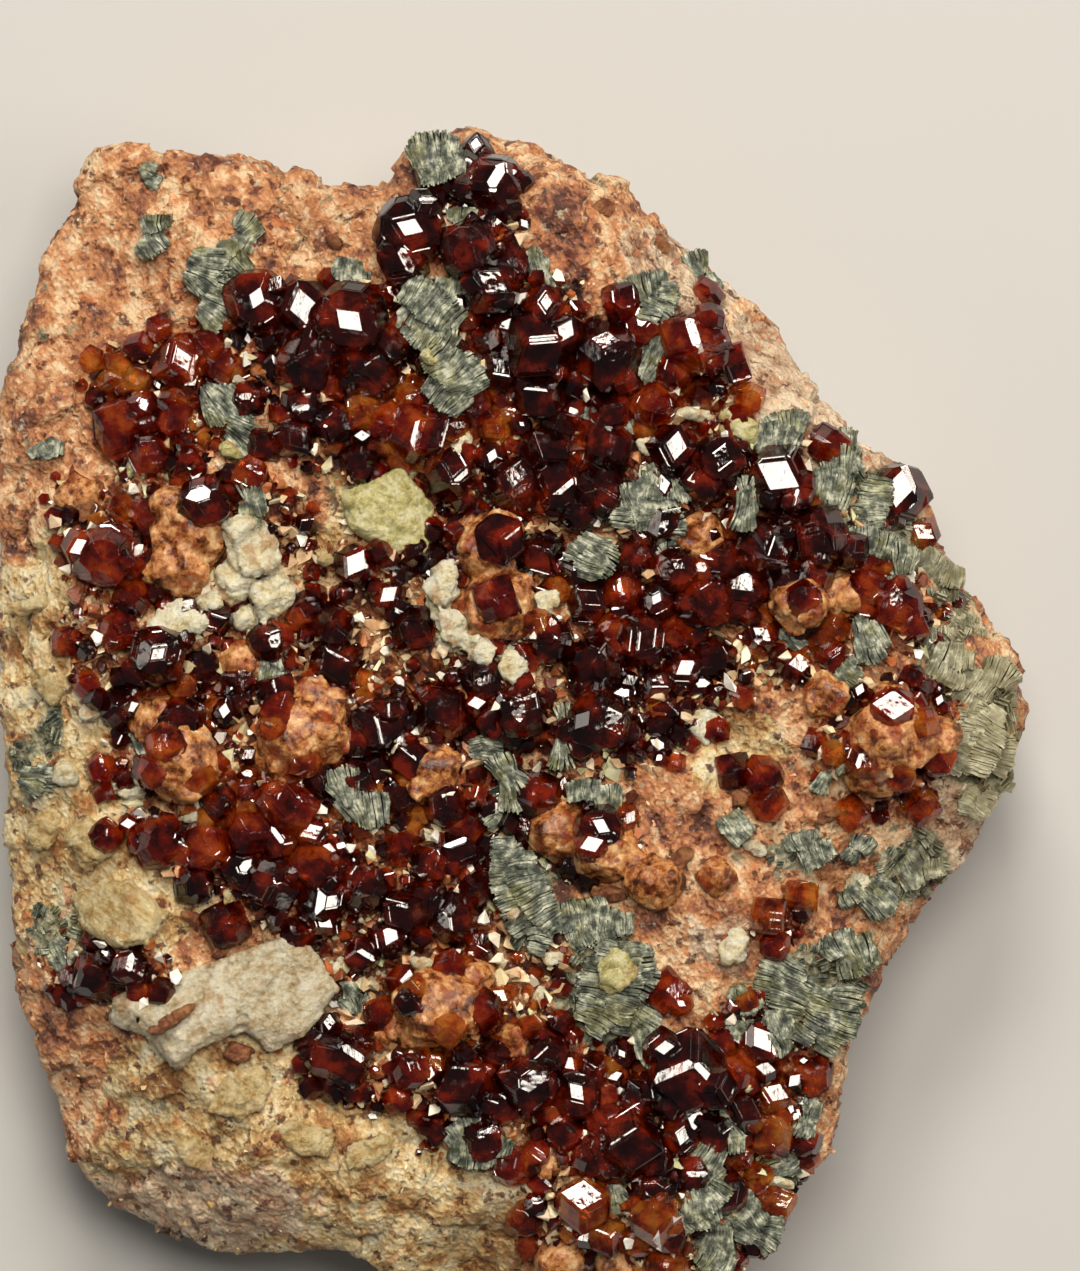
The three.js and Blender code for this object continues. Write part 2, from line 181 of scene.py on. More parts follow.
def randomSocket(tree, seed, step, low, high):
    # a number by chance for each element; the step sets it apart from others of the same seed
    node = addNode(tree, "FunctionNodeRandomValue", {"Seed": compute(tree, "ADD", seed, step)})
    setSocket(tree, node.inputs[2], low)
    setSocket(tree, node.inputs[3], high)
    return node.outputs[1]


def randomVector(tree, seed, step, low, high):
    # a vector by chance for each element, from low to high on each axis
    values = {"Seed": compute(tree, "ADD", seed, step), 0: low, 1: high}
    return addNode(tree, "FunctionNodeRandomValue", values, data_type="FLOAT_VECTOR").outputs[0]


def shadedMesh(tree, instances, seed, step):
    # instances made real, each with a shade of its own by chance
    shaded = addNode(tree, "GeometryNodeStoreNamedAttribute", {
        "Geometry": instances, "Name": "shade", "Value": randomSocket(tree, seed, step, 0.0, 1.0),
    }, data_type="FLOAT", domain="INSTANCE")
    return addNode(tree, "GeometryNodeRealizeInstances", {"Geometry": shaded.outputs[0]}).outputs[0]


def endTree(tree, geometry, material):
    coated = addNode(tree, "GeometryNodeSetMaterial", {"Geometry": geometry, "Material": material})
    addNode(tree, "NodeGroupOutput", {"Geometry": coated.outputs[0]})


def applyTree(source, tree, values, name):
    # runs the tree on the object and keeps the result as a plain mesh
    modifier = source.modifiers.new(tree.name, "NODES")
    modifier.node_group = tree
    sockets = {s.name: s.identifier for s in tree.interface.items_tree if s.in_out == "INPUT"}
    for label, value in values.items():
        modifier[sockets[label]] = value
    return settled(source, name)


# stacks of chlorite plates: x, y, length along the stack and width across it in millimetres,
# and the way it runs in degrees
plateStacks = [
    (-30.5, 45.9, 1.8, 2.0, 60), (-29.8, 40.8, 3.6, 2.8, 20), (-22.0, 40.8, 2.8, 2.6, -30),
    (-25.8, 36.6, 5.2, 4.8, 70), (-23.4, 38.6, 3.0, 2.6, 40), (-13.0, 37.4, 3.8, 2.8, 0),
    (-3.3, 41.5, 4.4, 2.0, -25), (2.9, 37.4, 2.2, 3.4, 10), (16.4, 37.6, 3.4, 2.8, 30),
    (12.4, 35.0, 5.0, 4.4, 5), (12.2, 30.8, 3.0, 4.6, -20), (7.0, 25.0, 2.6, 1.6, 0),
    (11.0, 24.9, 3.0, 1.9, 20), (12.9, 19.8, 5.4, 3.4, 0), (11.8, 16.6, 3.0, 4.8, 90),
    (13.3, 13.4, 2.0, 2.6, 0), (22.4, 23.6, 5.2, 3.4, 0), (20.2, 18.4, 2.0, 4.4, 5),
    (27.0, 19.8, 3.4, 4.8, 0), (30.6, 17.8, 3.8, 3.6, 90), (28.8, 22.0, 2.2, 3.4, 10),
    (31.6, 13.7, 6.4, 4.2, -5), (36.4, 12.2, 4.8, 2.8, -35), (30.8, 6.4, 2.4, 3.6, 20),
    (29.2, 3.8, 3.0, 2.0, 40), (24.1, 6.7, 2.4, 1.8, 20), (37.4, 4.6, 4.4, 3.0, -20),
    (40.4, 2.6, 4.4, 3.6, -30), (40.0, -0.6, 4.6, 3.4, 70), (41.2, -4.0, 5.0, 3.0, 80),
    (39.6, -7.8, 3.4, 2.8, 60), (27.4, -4.8, 2.0, 3.0, -30), (-1.7, -2.6, 2.6, 2.6, 90),
    (0.0, -5.4, 2.4, 4.4, 30), (4.5, -1.6, 1.8, 5.0, 0), (7.4, -7.2, 3.6, 3.4, 10),
    (-0.6, -8.0, 2.8, 2.8, -60), (6.6, -17.6, 7.0, 3.6, 5), (10.0, -21.4, 3.8, 5.6, 75),
    (10.2, -25.0, 3.4, 5.0, 60), (12.6, -28.2, 2.6, 4.2, 30), (18.6, -9.6, 3.0, 2.6, 30),
    (25.2, -11.5, 4.4, 3.0, 15), (29.4, -11.2, 2.4, 2.2, -20), (30.6, -15.4, 3.6, 3.4, 40),
    (34.0, -13.2, 4.6, 2.8, 30), (28.6, -20.6, 4.4, 3.8, 20), (24.6, -23.6, 6.0, 5.2, 60),
    (22.4, -26.8, 3.4, 3.4, 20), (27.4, -25.8, 5.0, 4.2, 75), (20.0, -23.9, 2.4, 2.2, 10),
    (19.2, -26.4, 4.0, 1.9, 0), (-1.9, -36.2, 5.6, 3.2, 5), (9.2, -33.8, 3.2, 2.2, 20),
    (16.4, -38.0, 4.0, 3.6, -40), (18.8, -35.0, 1.9, 3.6, 10), (15.8, -41.6, 5.6, 3.8, 20),
    (19.8, -41.4, 3.4, 3.0, -30), (23.2, -38.2, 3.0, 2.8, -60), (20.2, -44.0, 4.4, 4.2, 60),
    (17.2, -45.0, 3.8, 3.4, -20), (25.0, -34.2, 2.4, 3.0, -20), (9.2, -40.6, 2.6, 2.2, 0),
    (-39.2, 22.6, 2.6, 1.8, 20), (-21.6, 17.9, 2.4, 3.8, 10), (-20.3, 3.9, 3.2, 2.6, -10),
    (-12.7, -7.0, 3.8, 5.0, 20), (-13.5, -23.8, 3.0, 2.4, 20), (-40.0, -5.0, 3.0, 3.0, 80),
    (-38.4, -20.4, 2.6, 2.2, 30), (-30.8, -2.2, 2.0, 1.8, 20), (-5.6, 35.6, 3.4, 3.0, -20),
]


# where each kind of ground shows on the crystal face
# a blob is its middle x and y and its reach along x and y in millimetres, and its turn in degrees
zones = {
    "belt": [
        (-4, 42, 4, 4.5, 0), (-12, 31, 13, 5, 5), (2, 31, 7, 7, 0), (12, 28, 7, 5, 0), (-29, 27, 6, 6, 0),
        (-4, 23, 14, 6, -8), (13, 18, 13, 7, 0), (23, 15, 8, 6, -20), (-28, 15, 10, 7, 0), (2, 12, 16, 8, 0),
        (20, 9, 12, 6, 0), (6, 3, 14, 7, 0), (-12, 7, 12, 7, 0), (-28, 5, 9, 6, 0), (-10, -2, 13, 5, 0),
        (-27, -4, 7, 6, 0), (-20, -9, 13, 5, -15), (-12, -15, 15, 5, -12), (-6, -10, 8, 6, 0),
        (-5, -22, 9, 6, 0), (-33, -22, 6, 3, 0), (-3, -30, 9, 6, 0), (9, -33, 12, 6, 0), (14, -38, 9, 7, 0),
        (19, -42, 8, 6, 0), (-14, -29, 4, 4, 0), (8, -43, 7, 5, 0), (32, -2, 6, 5, 0), (23, -17, 2, 2, 0),
        (22, -30, 5, 5, 0), (33, 9, 4, 4, 0), (5, -10, 6, 4, 0),
    ],
    "ochre": [
        (-39, -6, 7, 14, 0), (-34, -14, 9, 8, 0), (-22, -33, 13, 8, 0), (-14, -40, 14, 8, 0),
        (-28, -41, 12, 6, 0), (-38, 9, 7, 6, 0), (-23, 11, 6, 6, 0), (-7, -44, 10, 7, 0), (15, 0, 5, 4, 0),
        (19, -3, 4, 3, 0), (40, -7, 4, 7, 0), (-10, 16, 6, 6, 0), (-30, 5, 5, 5, 0),
    ],
    "pale": [
        (24, 27, 6, 8, 45), (29, 20, 4, 6, 40), (-27, -42, 10, 4, 0), (16, 38, 6, 4, 0), (39, -10, 4, 8, 0),
        (18, -19, 3, 3, 0),
    ],
    "green": [
        (35, -13, 4, 2.5, 0), (41, -2, 3, 6, 0), (26, -24, 5, 4.5, 0), (31, 17, 4, 4, 0),
        (1, -12, 2.5, 8, 15), (8, -23, 4, 6, 10), (20, -41, 6, 5, 0), (24.5, -11, 2.5, 1.6, 0),
        (-38, -19, 1.8, 2.4, 0), (-40, -1, 1.6, 4, 0), (38, 8, 2.5, 5, -30),
    ],
    "ember": [
        (-7, 25, 7, 3.5, 5), (-2, 27, 3, 3, 0), (-33, 28, 4, 4, 0), (-28, 25, 3, 3, 0), (-10, -7, 4, 3, 0),
        (-19, -8, 5, 3, 0), (19, 18, 3, 3, 0), (34, 12, 3, 5, 0), (8, -31, 4, 3, 0), (21, -36, 3, 4, 0),
        (-10, 2, 3, 2, 0), (12, 27, 4, 3, 0), (10, -43, 5, 3, 0), (-1, -24, 4, 3, 0), (-5, -28, 4, 3, 0),
        (-24, -10, 4, 3, 0), (24, 6, 4, 3, 0), (-35, 14, 3, 4, 0),
    ],
    "rubble": [
        (-22, 11, 6, 7, 0), (-10, 7, 9, 6, 0), (-27, 8, 4, 3, 0), (-16, 15, 6, 4, 0), (-4, 6, 5, 5, 0),
        (3, 9, 4, 3, 0), (-14, 2, 6, 3, 0), (-6, -18, 6, 4, 0), (-12, -21, 6, 3, 0), (-8, -28, 8, 5, 0),
        (4, -21, 6, 4, 0), (16, 25, 5, 3, 0), (-4, 22, 4, 3, 0), (-28, -8, 6, 3, 0), (8, -46, 12, 4, 0),
        (0, -38, 8, 5, 0), (-16, 22, 6, 3, 0), (10, -8, 8, 5, 0), (-9, -12, 4, 3, 0), (-34, 8, 4, 6, 0),
        (30, 5, 5, 3, 0), (20, 4, 5, 3, 0), (-33, 22, 5, 4, 0), (29, 12, 4, 3, 0), (-22, -20, 5, 3, 0),
        (0, -26, 4, 4, 0), (6, 14, 5, 4, 0), (13, 9, 4, 3, 0), (-19, -3, 4, 3, 0), (4, 1, 4, 3, 0),
    ],
}


zoneLook = {  # lengths in millimetres
    "edge": (0.35, 2.2),  # how soft a zone's edge is, and how far it wavers
    "waverScale": 0.28, "waverStart": 3.0, "waverSlope": 0.6,
    "level": 20.0,  # below this height the waver changes with depth as well
    "fadeFrom": 11.0, "fadeOver": 8.0,  # where garnets and green dust thin out on the flanks
    "rubbleShare": 0.8, "emberShare": 0.6, "stackShare": 0.9,  # what each of these takes from the druse
    "stackReach": 0.45, "stackEdge": (0.2, 0.3),
}


def zoneWeights(points, blobs, softness, waver):
    # how far each point lies inside the blobs, from 0 to 1, with a wavering edge; points in metres
    look = zoneLook
    depths = look["waverStart"] + np.clip(look["level"] - points[:, 2] / mm, 0.0, None) * look["waverSlope"]
    places = np.column_stack((points[:, :2] / mm, depths)) * look["waverScale"]
    drift = np.array([noise.noise_vector(Vector(place))[:2] for place in places]) * waver
    flat = points[:, :2] / mm + drift
    weight = np.zeros(len(flat))
    for x, y, reachX, reachY, turn in blobs:
        angle = math.radians(turn)
        dx, dy = flat[:, 0] - x, flat[:, 1] - y
        along = (dx * math.cos(angle) + dy * math.sin(angle)) / reachX
        across = (dy * math.cos(angle) - dx * math.sin(angle)) / reachY
        inside = (1.0 + softness - np.hypot(along, across)) / (2.0 * softness)
        weight = np.maximum(weight, np.clip(inside, 0.0, 1.0))
    return eased(weight)


def storeZones(mesh):
    # writes one attribute per zone; the druse thins out where rubble, ember or a plate stack lies
    look = zoneLook
    points = np.empty(len(mesh.vertices) * 3)
    mesh.vertices.foreach_get("co", points)
    points = points.reshape(-1, 3)
    weights = {zone: zoneWeights(points, blobs, *look["edge"]) for zone, blobs in zones.items()}
    high = np.clip((points[:, 2] - look["fadeFrom"] * mm) / (look["fadeOver"] * mm), 0.0, 1.0)
    weights["belt"] *= high
    weights["green"] *= high
    weights["rubble"] *= weights["belt"]
    weights["ember"] *= weights["belt"]
    weights["druse"] = weights["belt"] * (1.0 - look["rubbleShare"] * weights["rubble"])
    weights["druse"] *= 1.0 - look["emberShare"] * weights["ember"]
    weights["bare"] = (1.0 - weights["belt"]) * (1.0 - weights["ochre"])
    reach = look["stackReach"]
    stacked = [(x, y, length * reach, width * reach, turn) for x, y, length, width, turn in plateStacks]
    weights["druse"] *= 1.0 - look["stackShare"] * zoneWeights(points, stacked, *look["stackEdge"])
    for zone, weight in weights.items():
        mesh.attributes.new(zone, "FLOAT", "POINT").data.foreach_set("value", weight.astype(np.float32))


def newMaterial(name):
    material = bpy.data.materials.new(name)
    material.use_nodes = True
    tree = material.node_tree
    return material, tree, tree.nodes["Principled BSDF"]


def placeSocket(tree, offset=0.0):
    place = addNode(tree, "ShaderNodeTexCoord").outputs["Object"]
    if offset:
        return addNode(tree, "ShaderNodeMapping", {"Vector": place, "Location": (offset,) * 3}).outputs[0]
    return place


def drawnSocket(tree, turn, stretch):
    # object coordinates turned about the upright, then stretched, for a grain that runs one way
    values = {"Vector": placeSocket(tree), "Rotation": (0.0, 0.0, math.radians(turn)), "Scale": stretch}
    return addNode(tree, "ShaderNodeMapping", values, vector_type="TEXTURE").outputs[0]


def noiseSocket(tree, place, size, detail=4.0, roughness=0.55):
    # noise whose lumps are about size metres across
    values = {"Vector": place, "Scale": 1.0 / size, "Detail": detail, "Roughness": roughness}
    return addNode(tree, "ShaderNodeTexNoise", values).outputs["Fac"]


def cellNode(tree, place, size):
    return addNode(tree, "ShaderNodeTexVoronoi", {"Vector": place, "Scale": 1.0 / size})


def cellTone(tree, cells):
    # a number by chance for each cell
    return addNode(tree, "ShaderNodeSeparateColor", {"Color": cells.outputs["Color"]}).outputs["Red"]


def rampSocket(tree, factor, stops):
    # a colour ramp through (place, colour) stops
    ramp = addNode(tree, "ShaderNodeValToRGB", {"Fac": factor})
    elements = ramp.color_ramp.elements
    elements[0].position, elements[0].color = stops[0][0], (*stops[0][1], 1.0)
    elements[1].position, elements[1].color = stops[-1][0], (*stops[-1][1], 1.0)
    for place, colour in stops[1:-1]:
        elements.new(place).color = (*colour, 1.0)
    return ramp.outputs["Color"]


def spreadSocket(tree, value, low, high, toLow=0.0, toHigh=1.0):
    values = {"Value": value, "From Min": low, "From Max": high, "To Min": toLow, "To Max": toHigh}
    return addNode(tree, "ShaderNodeMapRange", values).outputs["Result"]


def patchSocket(tree, offset, size, low, high, amount, detail=4.0, roughness=0.55):
    # patches about size millimetres across, with a soft edge where the noise runs from low to high
    patch = noiseSocket(tree, placeSocket(tree, offset), size * mm, detail, roughness)
    return spreadSocket(tree, patch, low, high, 0.0, amount)


def blendColour(tree, factor, first, second, mode="MIX"):
    mix = addNode(tree, "ShaderNodeMix", data_type="RGBA", blend_type=mode)
    setSocket(tree, mix.inputs[0], factor)
    for socket, colour in ((mix.inputs[6], first), (mix.inputs[7], second)):
        setSocket(tree, socket, (*colour, 1.0) if isinstance(colour, tuple) else colour)
    return mix.outputs[2]


def bumpSocket(tree, height, distance, strength=1.0, under=None):
    values = {"Height": height, "Distance": distance, "Strength": strength}
    if under is not None:
        values["Normal"] = under
    return addNode(tree, "ShaderNodeBump", values).outputs["Normal"]


def attributeSocket(tree, name):
    return addNode(tree, "ShaderNodeAttribute", attribute_name=name).outputs["Fac"]


def wireShader(tree, shader, colour, roughness, normal):
    for label, socket in (("Base Color", colour), ("Roughness", roughness), ("Normal", normal)):
        tree.links.new(socket, shader.inputs[label])


# colours of the matrix, from its dark grains to its light ones
rockColours = {
    "salmon": [
        (0.32, (0.1, 0.035, 0.022)), (0.4, (0.34, 0.13, 0.07)), (0.47, (0.54, 0.22, 0.08)),
        (0.54, (0.68, 0.34, 0.16)), (0.63, (0.86, 0.62, 0.37)),
    ],
    # the crystal belt's ground: dark red garnet, taken down to near black as painted shade in the gaps
    # between the crystals
    "belt": [
        (0.34, (0.008, 0.001, 0.0006)), (0.46, (0.05, 0.006, 0.002)), (0.54, (0.3, 0.05, 0.01)),
        (0.62, (0.5, 0.2, 0.07)),
    ],
    "ochre": [
        (0.34, (0.3, 0.12, 0.03)), (0.43, (0.52, 0.3, 0.11)), (0.5, (0.7, 0.5, 0.23)),
        (0.58, (0.84, 0.69, 0.4)), (0.66, (0.8, 0.72, 0.5)),
    ],
    "pale": [(0.34, (0.3, 0.14, 0.07)), (0.46, (0.56, 0.36, 0.22)), (0.6, (0.8, 0.64, 0.45))],
    "green": [(0.34, (0.06, 0.06, 0.03)), (0.46, (0.25, 0.24, 0.14)), (0.6, (0.56, 0.52, 0.35))],
    "rubble": [
        (0.36, (0.03, 0.006, 0.003)), (0.44, (0.15, 0.035, 0.01)), (0.52, (0.4, 0.14, 0.045)),
        (0.62, (0.74, 0.52, 0.28)),
    ],
}
# flecks over it: colour, size in millimetres, where the noise starts and ends to show it, and how strongly
rockFlecks = [
    ((0.09, 0.012, 0.004), 1.3, 0.57, 0.63, 0.85),  # rusty grains
    ((0.86, 0.74, 0.5), 1.0, 0.59, 0.66, 0.5),  # cream grains
    ((0.66, 0.17, 0.03), 1.7, 0.6, 0.69, 0.5),  # flame red stains
    ((0.22, 0.25, 0.16), 2.2, 0.64, 0.68, 0.7),  # green dust
]


rockTexture = {  # sizes in millimetres, and how far each sways the tone
    "patch": 3.4, "warp": 1.6, "bend": 2.0, "block": 1.9, "blockSway": 0.11, "grain": 0.5, "grainSway": 0.07,
    "streak": 0.55, "streakSway": 0.46, "streakTurn": 35, "streakStretch": (1.0, 3.2, 1.0), "edge": 2.8,
}


def rockMaterial():
    look = rockTexture
    material, tree, shader = newMaterial("massive_garnet")
    place = placeSocket(tree)
    patch = noiseSocket(tree, place, look["patch"] * mm, detail=6.0, roughness=0.66)
    warpScale = 1.0 / (look["warp"] * mm)
    warp = addNode(tree, "ShaderNodeTexNoise", {"Vector": place, "Scale": warpScale, "Detail": 3.0})
    bent = vectorMath(tree, "MULTIPLY_ADD", {0: warp.outputs["Color"], 1: (look["bend"] * mm,) * 3, 2: place})
    drawn = drawnSocket(tree, look["streakTurn"], look["streakStretch"])
    streak = noiseSocket(tree, drawn, look["streak"] * mm, detail=6.0, roughness=0.7)
    grain = cellNode(tree, place, look["grain"] * mm)
    grainTone = cellTone(tree, grain)
    blockTone = cellTone(tree, cellNode(tree, bent, look["block"] * mm))
    tone = swingSocket(tree, patch, grainTone, look["grainSway"])
    tone = swingSocket(tree, tone, blockTone, look["blockSway"])
    tone = swingSocket(tree, tone, streak, look["streakSway"])
    colour = rampSocket(tree, tone, rockColours["salmon"])
    # each zone lays its own colours over the salmon; the belt's near black is partly painted shade between
    # the crystals
    for count, zone in enumerate(("ochre", "pale", "green", "belt", "rubble")):
        frayed = noiseSocket(tree, placeSocket(tree, 0.05 * (count + 1)), look["edge"] * mm, 6.0, 0.68)
        share = spreadSocket(tree, swingSocket(tree, attributeSocket(tree, zone), frayed, 2.4), 0.48, 0.62)
        colour = blendColour(tree, share, colour, rampSocket(tree, tone, rockColours[zone]))
    for count, (fleck, *edges) in enumerate(rockFlecks):
        spot = patchSocket(tree, 0.3 + 0.07 * count, *edges, roughness=0.6)
        colour = blendColour(tree, spot, colour, fleck)
    facets = bumpSocket(tree, grain.outputs["Distance"], 0.3 * mm, 0.9, bumpSocket(tree, streak, 0.5 * mm))
    wireShader(tree, shader, colour, spreadSocket(tree, grainTone, 0.0, 1.0, 0.32, 0.85), facets)
    return material


# looks of broken surfaces in millimetres: the size of the mesh's squares, how far the surface stands over
# the plain solid, then the height and width of its broad lumps, its broken blocks and its rounded grains
reliefSizes = ("Lift", "Swell", "Swell Size", "Block", "Block Size", "Grain", "Grain Size")
rockLook = {
    "Voxel": 0.45, "Lift": 0.4, "Swell": 1.0, "Swell Size": 8.0, "Block": 1.1, "Block Size": 3.0,
    "Grain": 0.6, "Grain Size": 1.2, "Seed": 4.0,
}


def reliefTree():
    # pushes a dense mesh out and in along its normals, by lumps, blocks and grains
    tree = newTree("broken relief", {label: "Float" for label in (*reliefSizes, "Seed")})
    given = addNode(tree, "NodeGroupInput").outputs
    place = addNode(tree, "GeometryNodeInputPosition").outputs[0]
    moved = vectorMath(tree, "ADD", {0: place, 1: combined(tree, X=given["Seed"], Y=given["Seed"])})
    swellScale, blockScale, grainScale = [
        compute(tree, "DIVIDE", 1.0, given[label]) for label in ("Swell Size", "Block Size", "Grain Size")]
    swell = addNode(tree, "ShaderNodeTexNoise", {"Vector": moved, "Scale": swellScale, "Detail": 3.0})
    warp = addNode(tree, "ShaderNodeTexNoise", {"Vector": moved, "Scale": blockScale, "Detail": 2.0})
    bend = compute(tree, "MULTIPLY", given["Block Size"], 0.9)
    bent = vectorMath(tree, "SCALE", {0: warp.outputs["Color"], "Scale": bend})
    bentPlace = vectorMath(tree, "ADD", {0: moved, 1: bent})
    blocks = addNode(tree, "ShaderNodeTexVoronoi", {"Vector": bentPlace, "Scale": blockScale})
    grains = addNode(tree, "ShaderNodeTexVoronoi", {"Vector": bentPlace, "Scale": grainScale})
    dome = compute(tree, "SUBTRACT", 1.0, grains.outputs["Distance"])
    height = swingSocket(tree, given["Lift"], swell.outputs["Fac"], given["Swell"])
    height = swingSocket(tree, height, partOf(tree, blocks.outputs["Color"], "X"), given["Block"])
    height = swingSocket(tree, height, dome, given["Grain"], 0.55)
    normal = addNode(tree, "GeometryNodeInputNormal").outputs[0]
    offset = vectorMath(tree, "SCALE", {0: normal, "Scale": height})
    pushed = addNode(tree, "GeometryNodeSetPosition", {"Geometry": given["Geometry"], "Offset": offset})
    addNode(tree, "NodeGroupOutput", {"Geometry": pushed.outputs[0]})
    return tree


relief = reliefTree()


def breakSurface(source, look, name):
    # an even mesh of the object with the broken relief on it
    values = {label: look[label] * mm for label in reliefSizes}
    values["Seed"] = look["Seed"]
    return applyTree(voxelMesh(source, look["Voxel"], name + "_dense"), relief, values, name)


# small moves of the block's outline: middle x and y, reach, and the move along x and y, in millimetres
outlineMoves = [
    (-34.5, 46.5, 7, 0.6, 2.8), (-29, 47, 8, 0.0, 0.7), (-39, 37, 10, -0.6, 0.0), (-42, 25, 10, -1.0, 0.0),
    (-41, -24, 11, -1.4, -0.3), (-36, -36, 11, -1.4, -1.2), (-26, -43, 10, -0.4, -1.4), (42, 1, 7, 1.2, 0.0),
    (18, 37, 8, -0.7, -0.7), (25, 29, 8, -0.7, -0.7), (30, 23, 7, -0.6, -0.6), (-11, 46, 4, 0.4, -0.8),
    (9, 44, 3, 0.6, 1.1), (32, -26, 8, -0.7, 0.2), (38, 13, 7, -0.9, -0.6),
]


def moveOutline(mesh):
    for vert in mesh.vertices:
        for x, y, reach, alongX, alongY in outlineMoves:
            near = 1.0 - math.hypot(vert.co.x / mm - x, vert.co.y / mm - y) / reach
            if near > 0.0:
                share = eased(near)
                vert.co += Vector((alongX * share * mm, alongY * share * mm, 0.0))


# the height of the band that is drawn down, how far it is drawn, and where the underside goes, in millimetres
baseLook = {"height": 2.5, "draw": 2.2, "under": -1.0}


def flattenBase(mesh):
    # the resting face is one flat face: the underside is drawn down a little, then cut off level
    shape = bmesh.new()
    shape.from_mesh(mesh)
    shape.normal_update()
    for vert in shape.verts:
        near = min(1.0, max(0.0, 1.0 - vert.co.z / (baseLook["height"] * mm)))
        vert.co.z -= baseLook["draw"] * mm * eased(near)
        if near > 0.0 and vert.normal.z < -0.4:
            vert.co.z = min(vert.co.z, baseLook["under"] * mm)
    everything = [*shape.verts, *shape.edges, *shape.faces]
    level = {"plane_co": (0.0, 0.0, 0.0), "plane_no": (0.0, 0.0, 1.0)}
    bmesh.ops.bisect_plane(shape, geom=everything, dist=0.001 * mm, clear_inner=True, **level)
    rim = [edge for edge in shape.edges if edge.is_boundary]
    bmesh.ops.holes_fill(shape, edges=rim)
    for face in shape.faces:
        face.smooth = True
    for edge in rim:
        edge.smooth = False
    shape.to_mesh(mesh)
    shape.free()


def makeRock():
    block = voxelMesh(mergedCopy("matrix_rock", "rock_block"), 1.0, "rock_even")
    moveOutline(block.data)
    piece = breakSurface(block, rockLook, "rock_surface")
    flattenBase(piece.data)
    storeZones(piece.data)
    finishPiece(piece, rockMaterial(), ["matrix_rock"])
    return piece


rock = makeRock()


def surfaceOf(mesh):
    return BVHTree.FromPolygons([v.co.copy() for v in mesh.vertices], [p.vertices[:] for p in mesh.polygons])


rockSurface = surfaceOf(rock.data)
ledges = [rockSurface]  # the surfaces that small bits may lie on


def heightOn(surface, x, y):
    # how high a surface stands over a point of the plan, in metres, or None beside it
    place, *_ = surface.ray_cast(Vector((x * mm, y * mm, 0.1)), Vector((0.0, 0.0, -1.0)))
    return place.z if place else None


def groundAt(x, y):
    # the highest ledge at a point of the plan, in metres
    return max(height for height in (heightOn(ledge, x, y) for ledge in ledges) if height)


cameraLook = {"lens": 300.0, "height": 108.0, "middle": (2.65, 6.8), "focus": 22.0}  # lengths in millimetres


def makeCamera():
    data = bpy.data.cameras.new("camera")
    data.lens = cameraLook["lens"]
    distance = cameraLook["height"] * mm * data.lens / data.sensor_width
    camera = addObject("camera", data)
    x, y = cameraLook["middle"]
    camera.location = (x * mm, y * mm, cameraLook["focus"] * mm + distance)
    bpy.context.scene.camera = camera


lampColour = (1.0, 0.925, 0.82)
# each lamp: its angle off straight up and its compass angle in degrees, its distance, width and height
# in millimetres, and its watts
lampLooks = {
    "key": (13, 75, 1050, 440, 340, 7.9),
    "top": (46, 95, 900, 300, 220, 6.2),
    "left": (62, 170, 900, 240, 220, 0.5),
    "right": (60, 5, 900, 220, 240, 2.6),
}


def makeLamps():
    aim = Vector((0.0, 0.0, cadBox[1].z))
    for name, (lean, compass, distance, width, height, watts) in lampLooks.items():
        data = bpy.data.lights.new(name, "AREA")
        data.shape = "RECTANGLE"
        data.size = width * mm
        data.size_y = height * mm
        data.energy = watts
        data.color = lampColour
        lamp = addObject(name, data)
        tilt, turn = math.radians(lean), math.radians(compass)
        towards = Vector((math.sin(tilt) * math.cos(turn), math.sin(tilt) * math.sin(turn), math.cos(tilt)))
        lamp.location = aim + towards * distance * mm
        lamp.rotation_euler = towards.to_track_quat("Z", "Y").to_euler()


roomLook = {
    "sky": (0.9, 0.93, 1.0), "skyStrength": 0.07,
    "floor": (0.5, 0.5, 0.49), "floorSize": 6.0,  # the floor's colour, and its side in metres
}


def makeRoom():
    world = bpy.data.worlds.new("room")
    bpy.context.scene.world = world
    world.use_nodes = True
    sky = world.node_tree.nodes["Background"]
    sky.inputs["Color"].default_value = (*roomLook["sky"], 1.0)
    sky.inputs["Strength"].default_value = roomLook["skyStrength"]
    bpy.context.scene.view_settings.view_transform = "Standard"
    bpy.ops.mesh.primitive_plane_add(size=roomLook["floorSize"], location=(0.0, 0.0, 0.0))
    floor = bpy.context.object
    floor.name = "floor"
    material, _, shader = newMaterial("pale_floor")
    shader.inputs["Base Color"].default_value = (*roomLook["floor"], 1.0)
    shader.inputs["Roughness"].default_value = 0.9
    floor.data.materials.append(material)


makeCamera()
makeLamps()
makeRoom()
print("camera, lamps and floor")


glassTexture = {"growth": 0.22, "patch": 2.4, "frost": 1.1, "sway": 1.5, "ior": 1.74}  # sizes in millimetres


